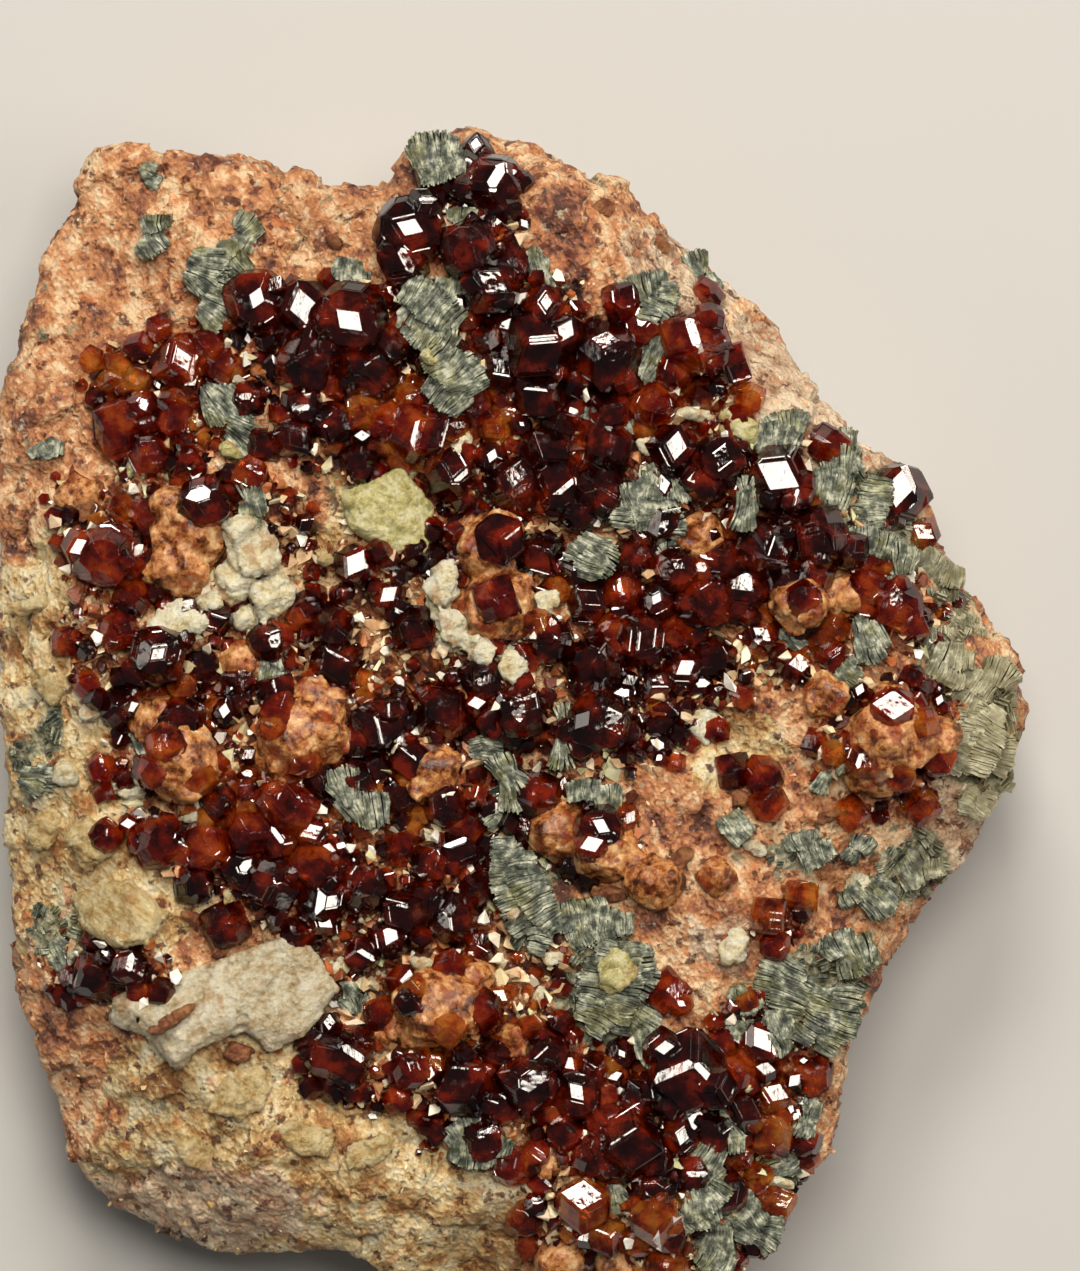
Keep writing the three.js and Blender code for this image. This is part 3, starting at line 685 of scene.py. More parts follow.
def garnetMaterial(name, look):
    # glassy garnet: a clear body whose colour comes and goes in patches, under fine growth lines
    material, tree, shader = newMaterial(name)
    place = placeSocket(tree)
    lines = addNode(tree, "ShaderNodeMapping", {"Vector": place, "Scale": (1.0, 0.25, 1.0)}).outputs[0]
    growth = noiseSocket(tree, lines, glassTexture["growth"] * mm, detail=3.0, roughness=0.6)
    patch = noiseSocket(tree, place, glassTexture["patch"] * mm, detail=4.0, roughness=0.58)
    frost = noiseSocket(tree, placeSocket(tree, 0.4), glassTexture["frost"] * mm, detail=4.0, roughness=0.6)
    sway = noiseSocket(tree, placeSocket(tree, 0.8), glassTexture["sway"] * mm, detail=2.0)
    uneven = bumpSocket(tree, sway, 0.1 * mm, 0.5)
    colour = rampSocket(tree, patch, look["colours"])
    rough = spreadSocket(tree, frost, 0.5, 0.66, 0.03, look["frost"])
    wireShader(tree, shader, colour, rough, bumpSocket(tree, growth, 0.02 * mm, 0.45, uneven))
    shader.inputs["IOR"].default_value = glassTexture["ior"]
    shader.inputs["Transmission Weight"].default_value = look["clear"]
    body = addNode(tree, "ShaderNodeVolumeAbsorption")
    body.inputs["Color"].default_value = (*look["absorb"], 1.0)
    body.inputs["Density"].default_value = look["density"]
    tree.links.new(body.outputs[0], tree.nodes["Material Output"].inputs["Volume"])
    return material


garnetLooks = {
    "dark": garnetMaterial("black_red_garnet", {
        "colours": [
            (0.4, (0.02, 0.0015, 0.0008)), (0.53, (0.09, 0.005, 0.0015)), (0.67, (0.5, 0.035, 0.004)),
        ],
        "frost": 0.2, "clear": 0.75, "absorb": (0.8, 0.02, 0.004), "density": 600.0,
    }),
    "red": garnetMaterial("cinnamon_garnet", {
        "colours": [(0.36, (0.05, 0.002, 0.0005)), (0.5, (0.3, 0.014, 0.003)), (0.66, (0.78, 0.12, 0.012))],
        "frost": 0.18, "clear": 0.75, "absorb": (0.88, 0.04, 0.006), "density": 420.0,
    }),
    "amber": garnetMaterial("amber_garnet", {
        "colours": [(0.38, (0.14, 0.01, 0.001)), (0.5, (0.62, 0.09, 0.007)), (0.64, (1.0, 0.36, 0.04))],
        "frost": 0.12, "clear": 0.8, "absorb": (0.96, 0.22, 0.015), "density": 260.0,
    }),
}


etchedColours = [
    (0.34, (0.028, 0.007, 0.003)), (0.42, (0.14, 0.04, 0.012)), (0.49, (0.36, 0.125, 0.033)),
    (0.57, (0.53, 0.25, 0.085)), (0.68, (0.74, 0.52, 0.28)),
]


def etchedMaterial():
    material, tree, shader = newMaterial("etched_garnet")
    place = placeSocket(tree)
    mottle = noiseSocket(tree, place, 1.5 * mm, detail=8.0, roughness=0.72)
    mottle = swingSocket(tree, mottle, cellTone(tree, cellNode(tree, place, 0.7 * mm)), 0.12)
    colour = rampSocket(tree, mottle, etchedColours)
    ember = patchSocket(tree, 0.2, 2.0, 0.55, 0.63, 0.7)
    colour = blendColour(tree, ember, colour, (0.2, 0.02, 0.004))
    # grey purple patches: a painted sheen, the reflection off glassy facets put into the colour
    paintedSheen = patchSocket(tree, 0.5, 2.4, 0.6, 0.7, 0.6)
    colour = blendColour(tree, paintedSheen, colour, (0.16, 0.09, 0.085))
    pits = noiseSocket(tree, place, 0.45 * mm, detail=6.0, roughness=0.7)
    rough = spreadSocket(tree, mottle, 0.4, 0.62, 0.1, 0.5)
    wireShader(tree, shader, colour, rough, bumpSocket(tree, pits, 0.15 * mm, 0.6))
    return material


etchedGarnet = etchedMaterial()

# garnets of the large groups, one list for each CAD group: x, y and radius in millimetres, and 1 or 2 where
# a rhomb or a kite-shaped face lies level
groupGarnets = {
    "dark": {
        "garnet_crown": [(-1.2, 45.0, 2.7, 2), (-2.8, 48.0, 1.4), (-0.4, 42.8, 1.8)],
        "garnet_shoulder": [
            (-8.4, 41.0, 3.2, 1), (-8.9, 38.4, 2.2, 2), (-3.2, 39.4, 2.6), (-1.4, 36.2, 2.3, 1),
            (0.2, 38.2, 1.8),
        ],
        "garnet_west_cluster": [
            (-21.4, 35.2, 2.8, 1), (-17.3, 34.4, 2.7), (-13.6, 33.4, 3.4), (-17.0, 29.8, 2.8),
            (-12.2, 29.2, 2.7), (-10.2, 31.4, 2.0),
        ],
        "garnet_star_cluster": [
            (2.6, 31.2, 3.1, 2), (3.2, 34.6, 2.0, 1), (2.6, 27.2, 2.2, 2), (8.4, 30.6, 3.1),
            (4.9, 32.4, 1.7, 1), (5.6, 28.4, 1.9),
        ],
        "garnet_kite": [(4.6, 19.2, 2.7, 2), (7.6, 19.0, 2.5), (6.0, 17.2, 1.8)],
        "garnet_twin_east": [(17.8, 21.5, 2.3), (14.0, 22.6, 2.2), (16.0, 20.0, 1.6, 1)],
        "garnet_flash_east": [(22.6, 20.2, 2.6, 1), (24.2, 18.6, 1.6, 2)],
        "garnet_rim_dark": [(33.2, 19.0, 2.5), (32.2, 17.2, 1.6)],
        "garnet_dark_east": [
            (21.6, 14.0, 2.9), (26.4, 15.4, 2.5), (20.0, 10.4, 2.4), (16.8, 9.8, 2.4), (23.6, 11.4, 2.0),
            (18.4, 13.2, 2.0),
        ],
        "garnet_flash_centre": [(14.8, 3.8, 1.9, 1), (12.6, 2.6, 1.6), (16.2, 2.6, 1.2, 2)],
        "garnet_centre": [(7.2, 4.2, 2.6), (7.6, -0.4, 2.8), (11.0, 6.4, 2.3), (9.4, 2.0, 1.9)],
        "garnet_row_centre": [(1.0, 0.2, 2.3), (-2.2, 3.2, 1.9), (-5.2, 0.2, 2.5)],
        "garnet_flash_heart": [(-10.2, 10.1, 1.7, 1), (-9.2, 8.6, 1.3, 2), (-8.2, 7.4, 1.9)],
        "garnet_dark_south": [(-4.2, -11.4, 2.0), (-5.4, -7.6, 1.9)],
        "garnet_south_seam": [
            (-16.0, -15.7, 2.4, 2), (-19.8, -14.2, 2.4), (-12.2, -14.6, 2.2), (-14.6, -12.6, 1.8),
        ],
        "garnet_dark_bottomwest": [(-14.2, -28.8, 2.6), (-12.6, -27.4, 1.4)],
        "garnet_bottom_cluster": [
            (-3.8, -31.2, 2.8), (1.7, -31.0, 2.6), (5.8, -32.2, 2.4), (-0.8, -33.0, 1.8),
        ],
        "garnet_giant_bottom": [(14.9, -30.4, 3.7), (13.0, -28.2, 1.8, 1), (17.4, -31.4, 1.9)],
        "garnet_black_bottom": [(10.1, -36.3, 2.8), (12.2, -38.0, 1.5)],
        "garnet_dull_centre": [(-11.2, -1.0, 2.5), (-9.4, 0.6, 1.4)],
        "garnet_tablet_west": [(-29.6, 5.2, 2.5, 1), (-31.4, 3.8, 1.4)],
    },
    "red": {
        "garnet_flash_west": [(-27.8, 29.9, 2.2, 1), (-24.3, 29.6, 1.5)],
        "garnet_capped_west": [
            (-32.8, 24.4, 2.6), (-28.6, 25.0, 2.0), (-30.4, 22.0, 1.8), (-31.0, 26.0, 1.5),
        ],
        "garnet_northeast": [(15.8, 31.6, 2.9), (18.6, 29.7, 1.9), (16.7, 35.6, 1.6), (14.0, 29.2, 1.7)],
        "garnet_red_east": [(32.9, 9.3, 2.4), (34.2, 7.6, 1.4)],
        "garnet_red_west": [(-34.2, 13.5, 2.6), (-36.2, 14.2, 1.5, 1)],
        "garnet_red_south": [
            (-18.2, -8.0, 2.1), (-21.8, -9.8, 2.0), (-20.0, -7.0, 1.5), (-19.4, -10.4, 1.6),
            (-23.6, -8.2, 1.5), (-16.6, -9.8, 1.4, 1),
        ],
        "garnet_dark_southwest": [(-29.6, -10.6, 2.3), (-27.4, -11.4, 1.6)],
        "garnet_flash_bottom": [(13.4, -23.3, 1.9), (14.6, -24.4, 1.1, 1)],
        "garnet_rim_bottomeast": [(25.8, -30.7, 1.8)],
    },
    "amber": {
        "garnet_ember_west": [(-33.2, 29.5, 1.5), (-31.6, 28.4, 1.3)],
        "garnet_amber_bottomeast": [(22.2, -35.6, 2.1), (22.6, -32.2, 1.5, 1)],
        "garnet_amber_east": [(22.0, -16.8, 1.6), (24.7, -15.4, 1.5)],
        "garnet_orange_bottom": [(12.4, -42.4, 2.2), (13.6, -44.0, 1.6)],
    },
    "etched": {
        "garnet_rough_east": [(24.7, 9.4, 2.4), (28.5, 10.0, 2.1)],
        "garnet_brown_heart": [(-1.8, 14.1, 2.8), (-0.9, 9.2, 3.0)],
        "garnet_brown_west": [(-26.9, 16.2, 3.7), (-27.8, 12.8, 2.6)],
        "garnet_brown_southwest": [(-29.2, -0.8, 2.7), (-27.6, -3.6, 3.5)],
        "garnet_brown_south": [(-17.8, -1.4, 3.8), (-15.6, 0.6, 2.0)],
        "garnet_brown_bottom": [(-6.0, -24.4, 3.7), (-3.0, -22.2, 1.7)],
        "garnet_etched_east": [(32.3, -1.6, 4.0), (36.4, -2.2, 2.0)],
    },
}


def garnetPlanes(rng, rhombReach, kiteReach):
    # the outward directions of the twelve rhombs and twenty-four kites, and how far out each lies
    normals, reaches = [], []
    for a in (-1, 1):
        for b in (-1, 1):
            for direction in ((a, b, 0), (a, 0, b), (0, a, b)):
                normals.append(direction)
                reaches.append(rhombReach * rng.uniform(0.94, 1.04))
            for c in (-1, 1):
                for direction in ((2 * a, b, c), (a, 2 * b, c), (a, b, 2 * c)):
                    normals.append(direction)
                    reaches.append(kiteReach * rng.uniform(0.98, 1.03))
    normals = np.array(normals, float)
    return normals / np.linalg.norm(normals, axis=1)[:, None], np.array(reaches)


# how far out a crystal's rhombs and kites lie, as shares of its radius; the nearer kind is the larger
garnetHabits = ((0.9, 0.97), (0.91, 0.99), (0.93, 0.95), (0.97, 0.94))


def garnetForm(name, radius, seed):
    # one crystal round its own middle, from the corners where three of its planes meet
    rng = random.Random(seed)
    normals, reaches = garnetPlanes(rng, *rng.choice(garnetHabits))
    triples = np.array(list(itertools.combinations(range(len(normals)), 3)))
    systems = normals[triples]
    sound = np.abs(np.linalg.det(systems)) > 1e-4
    corners = np.linalg.solve(systems[sound], reaches[triples[sound]][..., None])[..., 0]
    inside = (corners @ normals.T <= reaches + 1e-4).all(axis=1)
    shape = bmesh.new()
    for corner in np.unique(np.round(corners[inside], 4), axis=0) * radius:
        shape.verts.new(corner)
    bmesh.ops.convex_hull(shape, input=shape.verts)
    bmesh.ops.dissolve_limit(shape, angle_limit=math.radians(1.0), verts=shape.verts, edges=shape.edges)
    return meshFrom(shape, name)


growthLook = {
    "leastFace": 0.9, "leastStep": 0.25,  # the smallest face with steps, and the smallest step, in mm²
    "inset": (0.14, 0.34),  # the width of a step, as a share of its face
    "step": (0.03, 0.09), "bevel": 0.04,  # its height, and the soft edge, in millimetres
}


def addGrowthSteps(mesh, seed):
    # raises terraces on each large face, as parallel growth leaves them, and softens the edges
    look = growthLook
    rng = random.Random(seed)
    shape = bmesh.new()
    shape.from_mesh(mesh)
    for face in list(shape.faces):
        if face.calc_area() < look["leastFace"] * mm * mm or face.normal.z < -0.3:
            continue
        reach = math.sqrt(face.calc_area())
        for step in range(rng.choice((0, 0, 1, 1, 2, 3))):
            width = rng.uniform(*look["inset"]) * reach / (step + 1.6)
            rise = rng.uniform(*look["step"]) * mm * rng.choice((1.0, 1.0, -0.7))
            bmesh.ops.inset_individual(
                shape, faces=[face], thickness=width * 0.5, depth=rise, use_even_offset=True)
            if face.calc_area() < look["leastStep"] * mm * mm:
                break
    sharp = [e for e in shape.edges if e.is_manifold and e.calc_face_angle() > math.radians(20)]
    bevel = {"offset": look["bevel"] * mm, "segments": 1, "affect": "EDGES", "clamp_overlap": True}
    bmesh.ops.bevel(shape, geom=sharp, **bevel)
    shape.to_mesh(mesh)
    shape.free()


levelFaces = {1: Vector((1, 1, 0)), 2: Vector((2, 1, 1))}  # which face of a crystal lies level
keyLean = (-0.11, 0.03)  # how far level faces lean towards the key lamp


def faceUp(kind):
    return levelFaces[kind].rotation_difference(Vector((0, 0, 1))).to_matrix()


def levelTurn(kind, rng, stray=0.07):
    # turns the crystal so that this face looks up, a little towards the key lamp
    lean = Euler([rng.uniform(-stray, stray) + part for part in keyLean] + [0.0]).to_matrix()
    return lean @ Matrix.Rotation(rng.uniform(0, 6.28), 3, "Z") @ faceUp(kind)


def garnetAt(name, x, y, z, radius, level=0):
    # a crystal in its place; x, y and radius in millimetres, z of its middle in metres
    rng = random.Random(name)
    crystal = addObject(name, garnetForm(name, radius * mm, name))
    turn = levelTurn(level, rng) if level else Euler([rng.uniform(0, 6.28) for _ in range(3)]).to_matrix()
    crystal.data.transform(Matrix.Translation((x * mm, y * mm, z)) @ turn.to_4x4())
    return crystal


# crystals over this radius in millimetres have small ones round them: how far out and how large as its shares
satelliteLook = {"from": 2.1, "reach": (0.65, 0.95), "size": (0.3, 0.52)}


def withSatellites(garnets, rng, choices):
    # the crystals of a group, with small ones round the foot of each large one
    look = satelliteLook
    extra = []
    for x, y, radius in (garnet[:3] for garnet in garnets):
        for _ in range(rng.choice(choices) if radius > look["from"] else 0):
            angle = rng.uniform(0, 6.28)
            reach = radius * rng.uniform(*look["reach"])
            small = radius * rng.uniform(*look["size"])
            extra.append((x + reach * math.cos(angle), y + reach * math.sin(angle), small))
    return garnets + extra


# how far a crystal's middle lies over the rock or under the top of what it grows on, as a share of its radius
standLook = {"underTop": 0.93, "overRock": 0.1, "single": 0.28, "etchedSingle": 0.05, "underRough": 0.42}


def growGroup(node, garnets, choices):
    # the crystals of one group, their tops as high as the CAD solid's
    surface = surfaceOf(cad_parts[node].data)
    grown = []
    for count, (x, y, radius, *level) in enumerate(withSatellites(garnets, random.Random(node), choices)):
        ground = heightOn(rockSurface, x, y)
        top = heightOn(surface, x, y)
        if ground is None:
            continue
        least = ground + standLook["overRock"] * radius * mm
        z = max(top - standLook["underTop"] * radius * mm if top else 0.0, least)
        grown.append(garnetAt(node + str(count), x, y, z, radius, *level))
    return grown


def growSingle(name, ledge, x, y, radius, *level):
    # one crystal on the rock, or let into the rough garnet where that is the ground
    share = standLook["single" if ledge else "etchedSingle"]
    z = heightOn(rockSurface, x, y) + share * radius * mm
    top = heightOn(ledge, x, y) if ledge else None
    if top:
        z = max(z, top - standLook["underRough"] * radius * mm)
    return garnetAt(name, x, y, z, radius, *level)


# single crystals on the rock: x, y and radius in millimetres, and 1 or 2 where a face lies level
singleGarnets = {
    "dark": [
        (17, 19.5, 1.6), (-13, 12.8, 1.8, 1), (-17, 9.3, 1.4), (6.8, 9.6, 1.9), (-26, 4.3, 1.6),
        (-30.5, -4.7, 1.4), (2.2, -6.7, 2.2), (-24, -17.7, 2.1), (-7, -15.7, 2.1), (-4.5, -17.2, 2.3),
        (-9, -16.7, 1.9), (-35, -22, 2.1), (12.4, -40.2, 1.9), (-1.5, 21.8, 1.5, 1), (-14, 3.2, 1.5, 1),
        (-2, 2.8, 1.5, 1), (17, 10.8, 1.4, 1), (-10, -18.7, 2.0, 1), (9.5, -28.7, 1.5, 1),
        (14.5, -35.8, 1.8, 1), (-32, -21.2, 1.6, 2), (13, 19.5, 1.6, 1), (-24, 0.3, 1.4, 1),
        (3.2, 22.5, 2.2), (-5, 20.4, 2.2), (0.5, 19.5, 2.4), (8.4, 22.6, 2.2), (-18, 23.6, 1.9),
        (-22, 26.8, 1.7), (10.6, 13.4, 1.9), (17.5, 4.8, 2.2), (3.5, 6.4, 2.0), (-14.6, 4.4, 2.2),
        (-19.5, 1.6, 1.9), (-33, 0.8, 1.8), (-13.2, -5.6, 2.0), (-24.5, -7.2, 1.6), (7.5, -37.2, 2.2),
        (18.4, -40.4, 2.0), (-27.9, -0.6, 2.3), (-25.8, 17.9, 2.4), (-0.8, 14.8, 2.3), (7.6, -9.6, 2.2),
        (19.0, -4.6, 1.6), (-8.0, -24.0, 1.6), (3.2, -28.6, 2.0), (-2.2, -36.0, 2.0), (2.8, 13.6, 2.0),
        (5.8, 12.6, 1.7, 2), (12.8, 16.4, 2.1), (8.8, 25.8, 2.0), (4.2, 24.4, 1.7), (-0.6, 29.4, 1.9),
        (0.2, 33.2, 1.7), (-14.8, 24.8, 1.9), (-17.2, 26.0, 1.6, 2), (-20.6, 22.8, 1.6), (-12.6, 21.4, 1.8),
        (-6.4, 13.2, 1.6), (-14.8, 7.6, 1.9), (-20.6, 6.2, 1.7), (-22.8, 3.0, 1.5), (-24.8, 8.4, 1.6),
        (14.4, 12.4, 2.2), (12.6, 9.8, 1.7, 1), (25.8, 12.0, 1.8), (28.8, 14.0, 1.7), (23.4, 16.8, 1.5),
        (-16.0, -5.4, 1.7), (-9.4, -6.8, 1.6), (-8.4, -3.6, 1.8), (-26.6, -14.2, 1.8),
        (-22.4, -13.0, 1.9, 2), (-17.8, -18.4, 1.7), (-6.8, -12.6, 1.7), (-2.6, -14.6, 1.6),
        (-12.4, -20.2, 1.6, 2), (8.2, -34.4, 1.9), (4.8, -35.2, 1.8), (17.6, -35.2, 1.9),
        (15.6, -38.8, 1.7, 2), (19.8, -33.6, 1.7), (10.8, -32.6, 1.8), (7.0, -30.0, 1.7), (-1.2, -28.8, 1.8),
    ],
    "red": [
        (9.5, 35, 1.7), (-7.8, 23.9, 2.6), (-3, 26.1, 1.9), (27, 22.8, 1.8), (9.6, 10.5, 1.9),
        (-33, 7.3, 1.8), (-25.5, -11.2, 2.2), (-9.3, -11.3, 1.6), (21.5, -5.2, 1.8), (22.5, -19.4, 1.4),
        (21.5, -27.7, 2.1, 1), (21.5, 6.8, 1.5, 1), (27.5, 5.0, 1.4), (-37.5, 6.3, 1.4), (-10.4, 24.6, 1.9),
        (-6.2, 26.0, 1.6), (7, -11.0, 1.5, 1), (-16.4, -12.4, 2.2), (-33.6, 14.8, 1.8), (-30.8, 17.0, 1.7),
        (12.2, 26.2, 2.0), (19.4, 24.8, 1.6), (-8.2, -29.8, 1.8), (0.2, -38.0, 1.8), (19.2, -30.4, 1.9),
        (25.2, -36.2, 1.5), (-21.8, 20.2, 1.7), (-3.6, -9.4, 1.6), (30.2, 10.8, 1.8), (24.0, 4.4, 1.6),
        (-34.2, -10.2, 1.5), (13.2, 29.0, 1.8), (11.4, 32.8, 1.9), (-25.6, 31.4, 1.5), (-24.0, 25.2, 1.7),
        (-27.0, 21.2, 1.6), (8.8, 7.2, 1.7), (14.0, 7.0, 1.6), (-31.8, 10.2, 1.7), (-2.2, -24.8, 1.8),
        (-8.6, -22.4, 1.6), (-10.6, -25.4, 1.7), (17.8, -28.0, 1.7), (29.8, 12.8, 1.6), (32.4, 0.6, 2.1, 1),
        (36.4, -3.6, 1.6), (-30.0, -4.6, 1.5), (-19.4, 0.4, 1.8), (-1.0, 9.8, 2.0), (-5.0, -21.4, 1.6),
        (24.8, 9.8, 1.6), (2.4, -37.0, 1.4),
    ],
    "amber": [
        (-15.3, 37, 1.1), (-24, 33.3, 1.3), (-23, 29.3, 1.2), (-28.5, 26.4, 1.5), (29, -8.2, 1.5),
        (35, -7.7, 1.6), (6.5, -41.2, 2.4), (22.3, -41.7, 2.1), (25.5, -37.7, 1.1), (35.3, 15.4, 1.5),
        (27.6, -3.2, 1.3), (13.4, -46.4, 1.9), (1.4, -42.6, 1.6), (-12.4, 26.0, 1.5), (31.6, 12.6, 1.4),
        (9.6, -8.6, 1.4), (-35.4, 30.2, 1.2), (20.2, -24.2, 1.2), (-6.6, 21.8, 1.6), (-9.2, 21.6, 1.4),
        (-1.2, 24.2, 1.5), (11.4, 24.2, 1.4), (26.0, 17.6, 1.3), (-27.6, 2.4, 1.3), (-12.8, -9.4, 1.3),
        (22.0, -7.4, 1.7), (-8.4, 26.8, 1.6), (-5.0, 24.6, 1.7), (-10.8, 23.2, 1.4), (9.8, 28.0, 1.4),
        (16.4, 27.2, 1.6), (20.4, 27.0, 1.3), (-24.6, 0.6, 1.3), (4.2, 10.8, 1.4), (12.6, 0.4, 1.3),
        (27.6, 7.4, 1.4), (19.6, -37.4, 1.3), (8.2, -44.0, 1.8), (11.0, -44.4, 1.5), (-28.9, -2.4, 1.8),
        (-26.2, -5.2, 1.6), (29.8, -3.8, 1.5), (34.9, -0.6, 1.4), (-5.2, -26.2, 1.6), (-17.2, -3.8, 1.5),
        (-7.8, -23.2, 1.4), (2.2, 7.8, 1.5), (-19.8, -0.8, 1.3), (33.0, -5.0, 1.4),
    ],
    "etched": [
        (16.2, 15.3, 2.1), (-6.5, -4.7, 2.8), (4, -9.7, 2.8), (8.2, -11.4, 3.0), (3.5, -37.2, 2.2),
        (-22.6, 4.6, 2.0), (12.4, -14.0, 2.4), (17.6, -13.6, 1.6), (0.6, -27.4, 2.0), (-9.6, -26.6, 2.2),
        (27.2, 1.6, 2.2), (-36.4, 18.6, 1.9), (9.4, -46.6, 2.4), (4.4, -46.2, 2.2), (-22.8, 14.8, 1.9),
    ],
}
etchedLook = {
    "Voxel": 0.23, "Lift": -0.05, "Swell": 0.2, "Swell Size": 2.6, "Block": 0.55, "Block Size": 2.2,
    "Grain": 0.06, "Grain Size": 0.9, "Seed": 9.0,
}


def makeGarnets():
    ledge = None
    for tone in ("etched", "dark", "red", "amber"):
        groups = groupGarnets[tone]
        choices = (4, 5, 6) if tone == "etched" else (1, 2, 3)
        crystals = []
        for node, garnets in groups.items():
            crystals += growGroup(node, garnets, choices)
        for count, garnet in enumerate(singleGarnets[tone]):
            crystals.append(growSingle(tone + str(count), ledge, *garnet))
        if tone == "etched":
            piece = breakSurface(joined(crystals, "etched_solid"), etchedLook, "garnets_etched")
            piece.data.shade_smooth()
            finishPiece(piece, etchedGarnet, groups)
            ledge = surfaceOf(piece.data)
            ledges.append(ledge)
            continue
        for crystal in crystals:
            addGrowthSteps(crystal.data, crystal.name)
        finishPiece(joined(crystals, "garnets_" + tone), garnetLooks[tone], groups)


makeGarnets()


def scatterTree():
    # sets shapes from a collection on the marked part of a surface, each turned and sized by chance
    tree = newTree("crystal druse", {
        "Shapes": "Collection", "Zone": "String", "Least Weight": "Float", "Spacing": "Float",
        "Smallest": "Float", "Largest": "Float", "Tumble": "Float", "Rise": "Float", "Seed": "Int",
        "Material": "Material",
    })
    given = addNode(tree, "NodeGroupInput").outputs
    seed = given["Seed"]
    weight = addNode(
        tree, "GeometryNodeInputNamedAttribute", {"Name": given["Zone"]}, data_type="FLOAT").outputs[0]
    upward = partOf(tree, addNode(tree, "GeometryNodeInputNormal").outputs[0], "Z")
    height = partOf(tree, addNode(tree, "GeometryNodeInputPosition").outputs[0], "Z")
    chosen = compute(tree, "GREATER_THAN", weight, given["Least Weight"])
    for value, least in ((upward, 0.25), (height, 2.0 * mm)):
        chosen = compute(tree, "MULTIPLY", chosen, compute(tree, "GREATER_THAN", value, least))
    points = addNode(tree, "GeometryNodeDistributePointsOnFaces", {
        "Mesh": given["Geometry"], "Selection": chosen, "Distance Min": given["Spacing"],
        "Density Max": 4.0e6, "Seed": seed,
    }, distribute_method="POISSON")
    shapes = addNode(tree, "GeometryNodeCollectionInfo", {
        "Collection": given["Shapes"], "Separate Children": True, "Reset Children": True,
    })
    skewed = compute(tree, "POWER", randomSocket(tree, seed, 0.0, 0.0, 1.0), 2.2)
    spread = compute(tree, "SUBTRACT", given["Largest"], given["Smallest"])
    size = compute(tree, "MULTIPLY_ADD", skewed, spread, given["Smallest"])
    back = compute(tree, "MULTIPLY", given["Tumble"], -1.0)
    lows = combined(tree, X=back, Y=back)
    highs = combined(tree, X=given["Tumble"], Y=given["Tumble"], Z=6.28)
    placed = addNode(tree, "GeometryNodeInstanceOnPoints", {
        "Points": points.outputs["Points"], "Instance": shapes.outputs[0], "Pick Instance": True,
        "Rotation": randomVector(tree, seed, 1.0, lows, highs), "Scale": size,
    })
    raised = addNode(tree, "GeometryNodeTranslateInstances", {
        "Instances": placed.outputs[0], "Local Space": False,
        "Translation": combined(tree, Z=compute(tree, "MULTIPLY", size, given["Rise"])),
    })
    endTree(tree, shadedMesh(tree, raised.outputs[0], seed, 7.0), given["Material"])
    return tree


druse = scatterTree()


def shapeCollection(name, meshes):
    # shapes for the druse to pick from, kept out of the scene
    collection = bpy.data.collections.new(name)
    for count, mesh in enumerate(meshes):
        collection.objects.link(bpy.data.objects.new(name + str(count), mesh))
    return collection


def scatter(name, shapes, zone, material, look):
    # runs the druse over the rock and keeps only what it set there
    source = addObject(name + "_ground", rock.data.copy())
    values = {
        "Shapes": shapes, "Zone": zone, "Material": material, "Least Weight": look["least"],
        "Tumble": look["tumble"], "Rise": look["rise"], "Seed": look["seed"],
    }
    for label in ("Spacing", "Smallest", "Largest"):
        values[label] = look[label.lower()] * mm
    finishPiece(applyTree(source, druse, values, name), material)


def upFacing(mesh):
    mesh.transform(faceUp(1).to_4x4())
    return mesh


druseForms = shapeCollection("druse_form", [upFacing(garnetForm("druse" + str(n), 1.0, n)) for n in range(5)])

# for each kind: its garnet, its zone and the least weight there, the spacing and the smallest and largest
# radius in millimetres, how far a crystal may lean, and how high its middle stands as a share of its radius
druseLooks = {
    "druse_dark": {
        "garnet": "dark", "zone": "druse", "least": 0.5, "spacing": 1.6, "smallest": 0.45, "largest": 1.5,
        "tumble": 3.14, "rise": 0.2, "seed": 3,
    },
    "druse_red": {
        "garnet": "red", "zone": "druse", "least": 0.2, "spacing": 2.1, "smallest": 0.45, "largest": 1.4,
        "tumble": 3.14, "rise": 0.3, "seed": 11,
    },
    "druse_amber": {
        "garnet": "amber", "zone": "ember", "least": 0.3, "spacing": 1.3, "smallest": 0.4, "largest": 1.3,
        "tumble": 3.14, "rise": 0.4, "seed": 23,
    },
    "druse_glints": {
        "garnet": "dark", "zone": "belt", "least": 0.3, "spacing": 2.5, "smallest": 0.3, "largest": 1.1,
        "tumble": 0.2, "rise": 1.0, "seed": 31,
    },
}


def makeDruse():
    for name, look in druseLooks.items():
        scatter(name, druseForms, look["zone"], garnetLooks[look["garnet"]], look)


makeDruse()


chipReach = (1.2, 0.75)  # how far a plain chip reaches from its middle, along and across


def chipForm(name, seed, flatness, corners=9):
    # an angular chip from a handful of corners
    rng = random.Random(seed)
    shape = bmesh.new()
    for _ in range(corners):
        corner = Vector([rng.gauss(0, 1) for _ in range(3)]).normalized() * rng.uniform(0.8, 1.0)
        shape.verts.new((corner.x * chipReach[0], corner.y * chipReach[1], corner.z * flatness))
    hull = bmesh.ops.convex_hull(shape, input=shape.verts)
    bmesh.ops.delete(shape, geom=hull["geom_interior"], context="VERTS")
    return meshFrom(shape, name)


